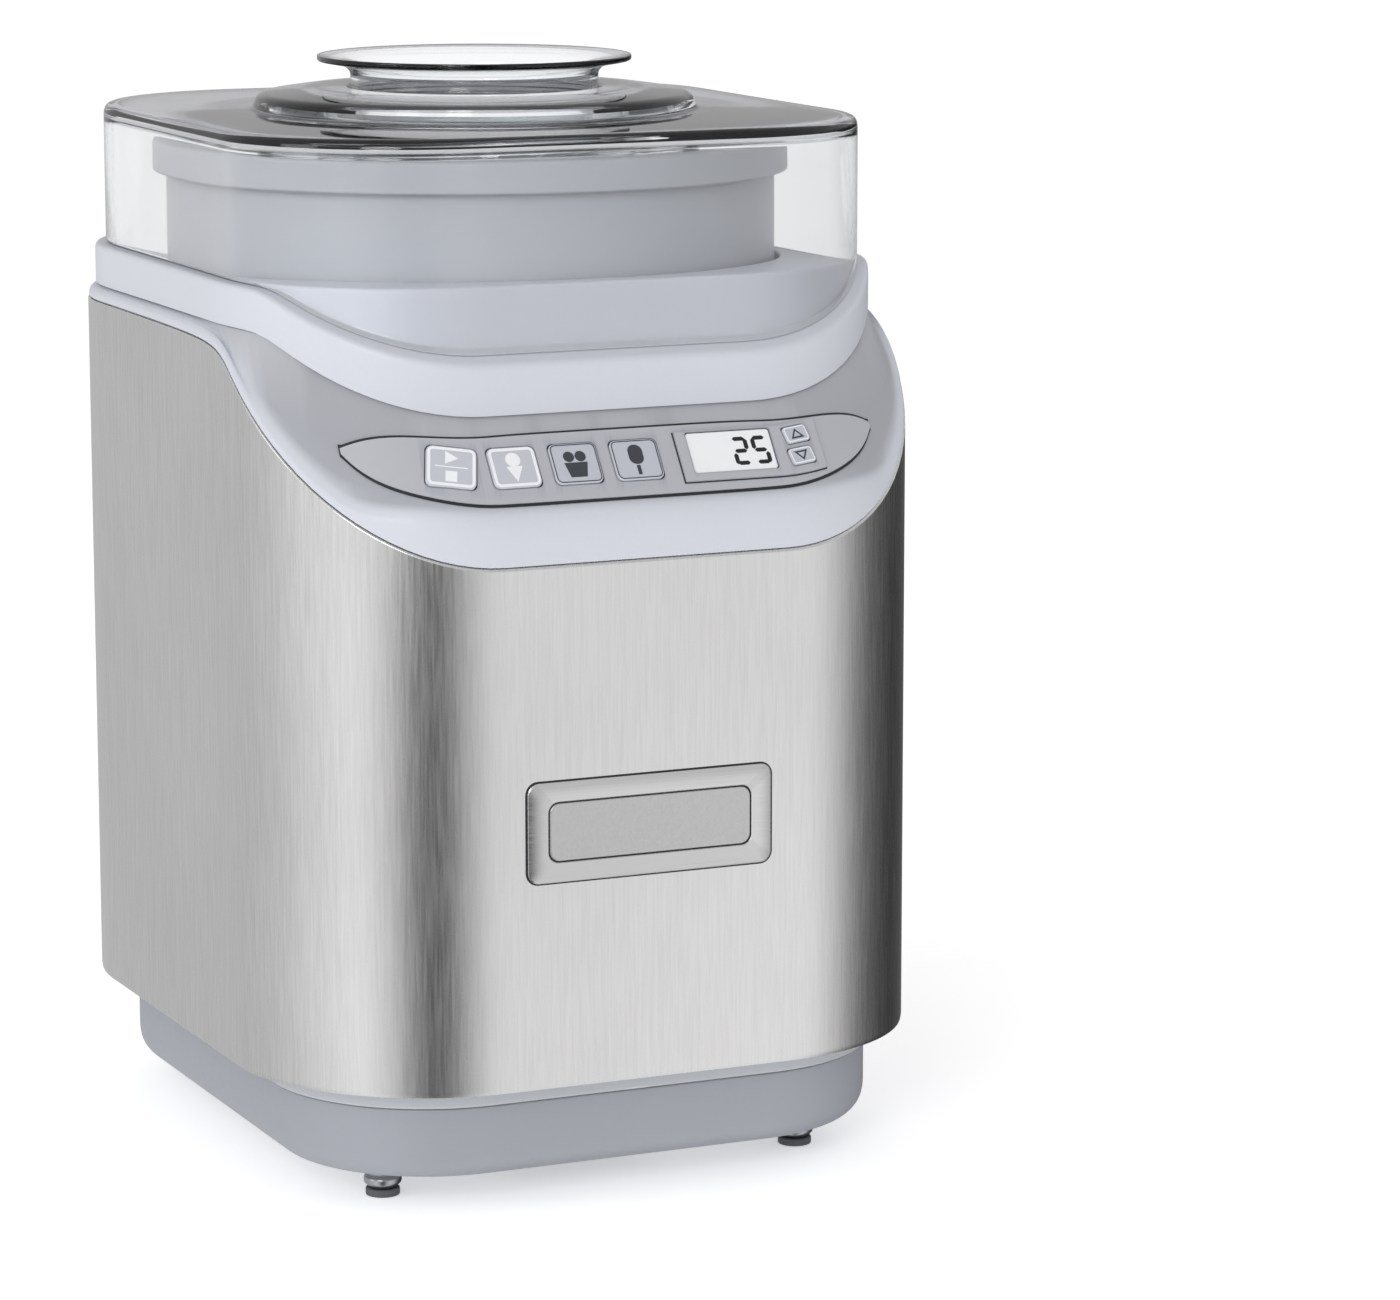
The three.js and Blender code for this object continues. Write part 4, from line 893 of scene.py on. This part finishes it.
def make_controls(housing):
    holes = control_holes()
    cut(housing, holes)
    shade_slope(housing)
    start, end = MEMBRANE_MIDDLE - MEMBRANE_HALF, MEMBRANE_MIDDLE + MEMBRANE_HALF
    film = slope_sheet(start, end, membrane_low, membrane_high, GAP, FILM, MEMBRANE_STEPS)
    cut(built("keypad_film", film, "membrane_film", replaces=["control_membrane"]), holes)
    # A dark sheet just wider than the film, under its edge: painted shade along the membrane's
    # edge.
    edge = slope_sheet(start - MEMBRANE_SEAM, end + MEMBRANE_SEAM,
                       lambda along: membrane_low(along) - MEMBRANE_SEAM_LEVEL,
                       lambda along: membrane_high(along) + MEMBRANE_SEAM_LEVEL,
                       0.02, GAP, MEMBRANE_STEPS)
    cut(built("keypad_edge_shade", edge, "membrane_film", finish=seam_painted_shade), holes)
    surround = slope_sheet(BEZEL_START, BEZEL_END, lambda along: BEZEL_LOW,
                           lambda along: BEZEL_HIGH, BEZEL_OFFSET - GAP, BEZEL + GAP, BEZEL_STEPS)
    cut(built("display_surround", surround, "membrane_film", replaces=["display_bezel"]), holes)
    # A dark sheet just wider than the surround, under its edge: painted shadow round the display
    # surround.
    shadow = slope_sheet(BEZEL_START - BEZEL_SEAM, BEZEL_END + BEZEL_SEAM,
                         lambda along: BEZEL_SEAM_LOW, lambda along: BEZEL_SEAM_HIGH,
                         GAP + FILM - 0.1, 0.16, BEZEL_STEPS)
    cut(built("display_edge_shade", shadow, "membrane_film", finish=seam_painted_shade), holes)
    make_keys()
    make_arrows()
    make_display()


# ------------------------------------------------------------------ badge, feet and gland
def facing_front(data, y, z):
    """Turn a pad made flat on z = 0 so that it faces the front."""
    points, faces = data
    return [(p[0], y - p[2], z + p[1]) for p in points], faces


def make_badge():
    middle = (badge_low.z + badge_high.z) / 2
    width = badge_high.x - badge_low.x
    height = badge_high.z - badge_low.z
    face = badge_low.y
    seat = FRONT - 0.15
    # A dark pad just wider than the badge, behind it: painted shade round the badge's edge.
    seam = slab(width + 0.9, height + 0.9, 3.4, 0, 0.12)
    built("badge_edge_shade", facing_front(seam, FRONT, middle), "badge_metal", finish=seam_painted_shade)
    inlay_w = inlay_high.x - inlay_low.x
    inlay_h = inlay_high.z - inlay_low.z
    top = seat - face
    recess = 0.6
    outer = rounded_outline(width, height, 3.0)
    bevelled = rounded_outline(width - 0.9, height - 0.9, 2.6)
    opening = rounded_outline(inlay_w + 1.1, inlay_h + 1.1, 3.0)
    mouth = rounded_outline(inlay_w + 0.7, inlay_h + 0.7, 2.8)
    rings = [flat_ring(outer, 0), flat_ring(outer, top - 0.3), flat_ring(bevelled, top),
             flat_ring(opening, top), flat_ring(mouth, top - 0.2), flat_ring(mouth, top - recess)]
    built("badge_face", facing_front(loft_data(rings, False), seat, middle), "badge_metal",
          replaces=["badge_plate"])
    # A dark ring on the floor of the recess round the inlay: painted shade in the groove.
    floor = frame_band(inlay_w + 0.69, inlay_h + 0.69, 2.8, 0.6, 0, 0.05)
    built("badge_groove_shade", facing_front(floor, face + recess, middle), "badge_metal",
          finish=seam_painted_shade)
    inset_data = slab(inlay_w, inlay_h, 2.6, 0, recess - 0.1, 0.3)
    built("badge_panel", facing_front(inset_data, face + recess, middle), "inlay_metal",
          replaces=["badge_inlay"])


def make_feet():
    for i in range(1, 5):
        low, high = box_mm(f"foot_cup_{i}")
        x, y = (low.x + high.x) / 2, (low.y + high.y) / 2
        r = (high.x - low.x) / 2
        top = plinth_low.z - GAP
        profile = [(r - 1.2, low.z), (r, low.z + 1.2), (r, low.z + 2.6), (r - 0.9, low.z + 3.6),
                   (r - 0.9, top), (2.2, top), (2.2, high.z)]
        data = turned_data(profile, {1: 0.6, 2: 0.4, 3: 0.4, 4: 0.3}, x, y, 48, closed=False)
        built(f"foot_sleeve_{i}", data, "foot_metal", replaces=[f"foot_cup_{i}"])
        pad_low, pad_high = box_mm(f"foot_pad_{i}")
        r = (pad_high.x - pad_low.x) / 2
        profile = [(r - 1, 0), (r, 0), (r, pad_high.z), (r - 1, pad_high.z)]
        data = turned_data(profile, {1: 0.5, 2: 0.5}, x, y, 48, closed=False)
        built(f"foot_sole_{i}", data, "foot_rubber", replaces=[f"foot_pad_{i}"])


def make_gland():
    low, high = box_mm("cord_gland")
    middle = (low + high) / 2
    wall = 3.1
    base = plinth_high.y
    profile = [(3.2, -wall - 4), (5.0, -wall - 4), (5.5, -wall), (5.5, GAP), (7.5, GAP),
               (7.0, 3.0), (4.2, 4.5), (3.2, 4.5)]
    points, faces = turned_data(profile, {4: 0.4, 5: 1.2, 6: 0.5}, 0, 0, 64)
    turned = [(middle.x - p[0], base + p[2], middle.z + p[1]) for p in points]
    built("gland_sleeve", (turned, faces), "black_plastic", replaces=["cord_gland"])


# ------------------------------------------------------------------ bowl, lid and cup
def make_bowl():
    r = bowl_high.x - 3.7
    rim = bowl_high.x
    top, bottom = bowl_high.z, bowl_low.z
    inside = r - WALL
    rim_bottom = top - 8.3
    boss_top = bottom + BOSS_HEIGHT
    profile = [(0.5, bottom), (r - 9, bottom), (r - 3.5, bottom + 3), (r - 1.5, bottom + 10),
               (r, rim_bottom - 0.6), (rim, rim_bottom), (rim, top), (inside, top),
               (inside, rim_bottom - 2), (inside - 1.5, bottom + 11), (inside - 8, bottom + 2.5),
               (BOSS_RADIUS, bottom + 2.5), (BOSS_RADIUS, boss_top), (0.5, boss_top)]
    data = turned_data(profile, {1: 3, 2: 3, 3: 3, 4: 0.8, 5: 0.8, 6: 1.4, 7: 0.4}, closed=False)
    skin = built("bowl_skin", data, "bowl_plastic", "bowl", ["bowl_outer_shell"])
    angles = [math.radians(30 + 60 * k) for k in range(6)]
    corners = [(SOCKET_RADIUS * math.cos(a), BOWL_Y + SOCKET_RADIUS * math.sin(a))
               for a in angles]
    socket = [flat_ring(corners, z) for z in (bottom - 1, boss_top - SOCKET_ROOF)]
    cut(skin, [loft_data(socket, False)])


def make_liner():
    outer = liner_high.x
    top, floor = liner_high.z, liner_low.z + 1.2
    r = outer - 9.8
    profile = [(2.0, floor - 1.2), (r - 6, floor - 1.2), (r + 1.2, floor + 6), (r + 1.2, top - 1.2),
               (outer, top - 1.2), (outer, top), (r, top), (r, floor + 6.5), (r - 6.5, floor),
               (2.0, floor)]
    data = turned_data(profile, {1: 3, 2: 3, 4: 0.4, 5: 0.4, 6: 1.0, 7: 4, 8: 4}, closed=False)
    built("liner_skin", data, "bowl_aluminium", "bowl", ["bowl_inner_liner"])


def make_lid():
    inner = lid_plan.inset(LID_WALL)
    under = LID_TOP - LID_WALL
    neck = CUP_NECK
    tube_inner = neck + 7.3
    tube_outer = tube_inner + 2.2
    tube_bottom = DOME_TOP - LID_WALL - 13.5

    def foot(y):
        return band_top(y) + GAP

    def around(radius, z):
        return round_ring(lid_plan, radius, z)

    rings = [
        ring(lid_plan, foot),
        ring(lid_plan, LID_TOP),
        around(DOME_RADIUS, LID_TOP),
        around(DOME_RADIUS - 1.5, LID_TOP + 0.7 * DOME_RISE),
        around(DOME_SHOULDER, DOME_TOP),
        around(neck + 0.8, DOME_TOP),
        around(neck + 0.8, DOME_TOP - LID_WALL),
        around(tube_inner, DOME_TOP - LID_WALL),
        around(tube_inner, tube_bottom),
        around(tube_outer, tube_bottom),
        around(tube_outer, DOME_TOP - LID_WALL - 0.6),
        around(DOME_RADIUS - LID_WALL - 1, LID_TOP + 0.7 * DOME_RISE - LID_WALL),
        around(DOME_RADIUS - LID_WALL, LID_TOP - 9.5),
        around(DOME_RADIUS, LID_TOP - 9.5),
        around(DOME_RADIUS, under),
        ring(inner, under),
        ring(inner, foot),
    ]
    radii = {0: 0.5, 1: 3.0, 2: 1.2, 3: 2.5, 4: 3.0, 5: 0.8, 8: 0.5, 9: 0.5, 12: 0.6, 13: 0.6,
             14: 1.0, 15: 3.0, 16: 0.5}
    rounded = soften(rings, radii, True, 5)
    skin = built("lid_skin", loft_data(rounded, True), "clear_plastic", "lid", ["clear_lid"])
    skin.data.materials.append(lid_top_painted_shade)
    skin.data.materials.append(lid_foot_painted_light)
    for face in skin.data.polygons:
        # Upward faces on the lid's top get the darker tint: painted shade.
        if face.normal.z > 0.6 and face.center.z > (LID_TOP - 1) * MM:
            face.material_index = 1
        # Downward faces at the lid's foot get the pale opaque surface: painted light over the
        # shadow line there.
        elif face.normal.z < -0.4 and face.center.z < (LID_TOP - 20) * MM:
            face.material_index = 2


def make_cup():
    neck, flange, wall = CUP_NECK, cup_high.x, 2.0
    top, low = cup_high.z, cup_low.z
    under = top - 2.0
    foot = neck - 3
    profile = [(4.0, low), (foot - 2, low), (foot, low + 2), (neck, DOME_TOP - 3.7),
               (neck, under - 2.5), (neck + 2, under - 0.8), (flange, under + 0.4), (flange, top),
               (neck + 1, top - 1.4), (neck - wall, top - 4), (neck - wall, DOME_TOP - 3.7),
               (foot - wall, low + 3), (foot - wall - 1, low + wall), (4.0, low + wall)]
    radii = {1: 1, 2: 1.5, 4: 1, 5: 2, 6: 0.6, 7: 0.6, 8: 2.5, 9: 2, 11: 1, 12: 1}
    data = turned_data(profile, radii, closed=False)
    built("cup_skin", data, "clear_plastic", "cup", ["ingredient_cup"])


# ------------------------------------------------------------------ stage, light and camera
def world_light():
    """A soft studio: bright all round, with darker gaps between the light panels."""
    world = bpy.data.worlds.new("studio")
    scene.world = world
    world.use_nodes = True
    nodes = world.node_tree.nodes
    link = world.node_tree.links.new
    nodes.clear()
    out = nodes.new("ShaderNodeOutputWorld")
    place = nodes.new("ShaderNodeTexCoord")
    split = nodes.new("ShaderNodeSeparateXYZ")
    link(place.outputs["Generated"], split.inputs[0])
    around = nodes.new("ShaderNodeMath")
    around.operation = "ARCTAN2"
    back = nodes.new("ShaderNodeMath")
    back.operation = "MULTIPLY"
    back.inputs[1].default_value = -1.0
    link(split.outputs["Y"], back.inputs[0])
    link(split.outputs["X"], around.inputs[0])
    link(back.outputs[0], around.inputs[1])
    turn = nodes.new("ShaderNodeMapRange")
    turn.inputs["From Min"].default_value = -math.pi
    turn.inputs["From Max"].default_value = math.pi
    link(around.outputs[0], turn.inputs["Value"])
    panels = nodes.new("ShaderNodeValToRGB")
    panels.color_ramp.interpolation = "EASE"
    # Direction round the room in degrees, and how bright it is there.
    stops = [(-180, 0.58), (-140, 0.58), (-112, 0.64), (-88, 0.8), (-60, 1.0), (-44, 0.74),
             (-30, 0.2), (-19, 0.03), (-10, 0.16), (0, 0.55), (14, 0.9), (40, 0.92), (56, 0.66),
             (70, 0.27), (84, 0.1), (110, 0.03), (135, 0.08), (158, 0.5), (180, 0.58)]
    ramp = panels.color_ramp.elements
    while len(ramp) < len(stops):
        ramp.new(0.5)
    for element, (degrees, level) in zip(ramp, stops):
        element.position = (degrees + 180) / 360
        element.color = (level, level, level * 1.01, 1)
    link(turn.outputs["Result"], panels.inputs["Fac"])
    height = nodes.new("ShaderNodeMapRange")
    height.inputs["From Min"].default_value = 0.04
    height.inputs["From Max"].default_value = 0.2
    link(split.outputs["Z"], height.inputs["Value"])
    sky = nodes.new("ShaderNodeMix")
    sky.data_type = "RGBA"
    sky.inputs[7].default_value = (0.62, 0.62, 0.63, 1)
    link(height.outputs["Result"], sky.inputs[0])
    link(panels.outputs["Color"], sky.inputs[6])
    lit = nodes.new("ShaderNodeBackground")
    link(sky.outputs[2], lit.inputs["Color"])
    white = nodes.new("ShaderNodeBackground")
    white.inputs["Color"].default_value = (1, 1, 1, 1)
    path = nodes.new("ShaderNodeLightPath")
    undimmed = nodes.new("ShaderNodeMath")
    undimmed.operation = "LESS_THAN"
    undimmed.inputs[1].default_value = 0.5
    link(path.outputs["Diffuse Depth"], undimmed.inputs[0])
    through = nodes.new("ShaderNodeMath")
    through.operation = "MULTIPLY"
    link(path.outputs["Is Transmission Ray"], through.inputs[0])
    link(undimmed.outputs[0], through.inputs[1])
    straight = nodes.new("ShaderNodeMath")
    straight.operation = "MAXIMUM"
    link(path.outputs["Is Camera Ray"], straight.inputs[0])
    link(through.outputs[0], straight.inputs[1])
    choose = nodes.new("ShaderNodeMixShader")
    link(straight.outputs[0], choose.inputs["Fac"])
    link(lit.outputs[0], choose.inputs[1])
    link(white.outputs[0], choose.inputs[2])
    link(choose.outputs[0], out.inputs["Surface"])


def paper_material():
    """White paper that mirror-like surfaces look straight past, into the studio around it."""
    mat = material("paper", "ffffff", 0.9, bump=0.02, variation=0.002)
    nodes = mat.node_tree.nodes
    link = mat.node_tree.links.new
    shader = nodes["Principled BSDF"]
    shader.inputs["Specular IOR Level"].default_value = 0.0
    shader.inputs["Emission Color"].default_value = (1, 1, 1, 1)
    shader.inputs["Emission Strength"].default_value = 0.4
    path = nodes.new("ShaderNodeLightPath")
    unseen = nodes.new("ShaderNodeBsdfTransparent")
    choose = nodes.new("ShaderNodeMixShader")
    link(path.outputs["Is Glossy Ray"], choose.inputs["Fac"])
    link(shader.outputs[0], choose.inputs[1])
    link(unseen.outputs[0], choose.inputs[2])
    link(choose.outputs[0], nodes["Material Output"].inputs["Surface"])
    return mat


def area_light(name, place, aim, size, power):
    light = bpy.data.lights.new(name, "AREA")
    light.shape = "DISK"
    light.size = size
    light.energy = power
    obj = bpy.data.objects.new(name, light)
    obj.location = place
    obj.rotation_euler = (Vector(aim) - Vector(place)).to_track_quat("-Z", "Y").to_euler()
    scene.collection.objects.link(obj)


def make_stage():
    size = 30.0
    mesh = bpy.data.meshes.new("floor")
    mesh.from_pydata([(-size, -size, 0), (size, -size, 0), (size, size, 0), (-size, size, 0)], [],
                     [(0, 1, 2, 3)])
    floor = bpy.data.objects.new("floor", mesh)
    scene.collection.objects.link(floor)
    mesh.materials.append(paper_material())
    world_light()
    area_light("front_light", (-1.4, -1.9, 1.1), (0, 0, 0.2), 1.0, 14)
    area_light("left_light", (-2.2, -0.1, 1.0), (0, 0, 0.2), 1.0, 6)
    scene.view_settings.view_transform = "Standard"


CAMERA_PLACE = (-0.5319, -1.3042, 0.3842)
CAMERA_AZIMUTH, CAMERA_ELEVATION = -24.5, 10.3
LENS = 134.8


def make_camera():
    azimuth, elevation = math.radians(CAMERA_AZIMUTH), math.radians(CAMERA_ELEVATION)
    back = Vector((math.sin(azimuth) * math.cos(elevation),
                   -math.cos(azimuth) * math.cos(elevation), math.sin(elevation)))
    right = Vector((math.cos(azimuth), math.sin(azimuth), 0))
    up = back.cross(right)
    data = bpy.data.cameras.new("camera")
    data.sensor_fit = "HORIZONTAL"
    data.sensor_width = 36
    data.lens = LENS
    camera = bpy.data.objects.new("camera", data)
    turn = Matrix((right, up, back)).transposed().to_4x4()
    camera.matrix_world = Matrix.Translation(CAMERA_PLACE) @ turn
    scene.collection.objects.link(camera)
    scene.camera = camera


# ------------------------------------------------------------------ assembly
make_camera()
make_stage()
make_wrap()
make_collar()
make_well()
make_plinth()
make_trim()
make_controls(make_housing())
make_badge()
make_feet()
make_gland()
make_bowl()
make_liner()
make_lid()
make_cup()

bpy.context.view_layer.update()
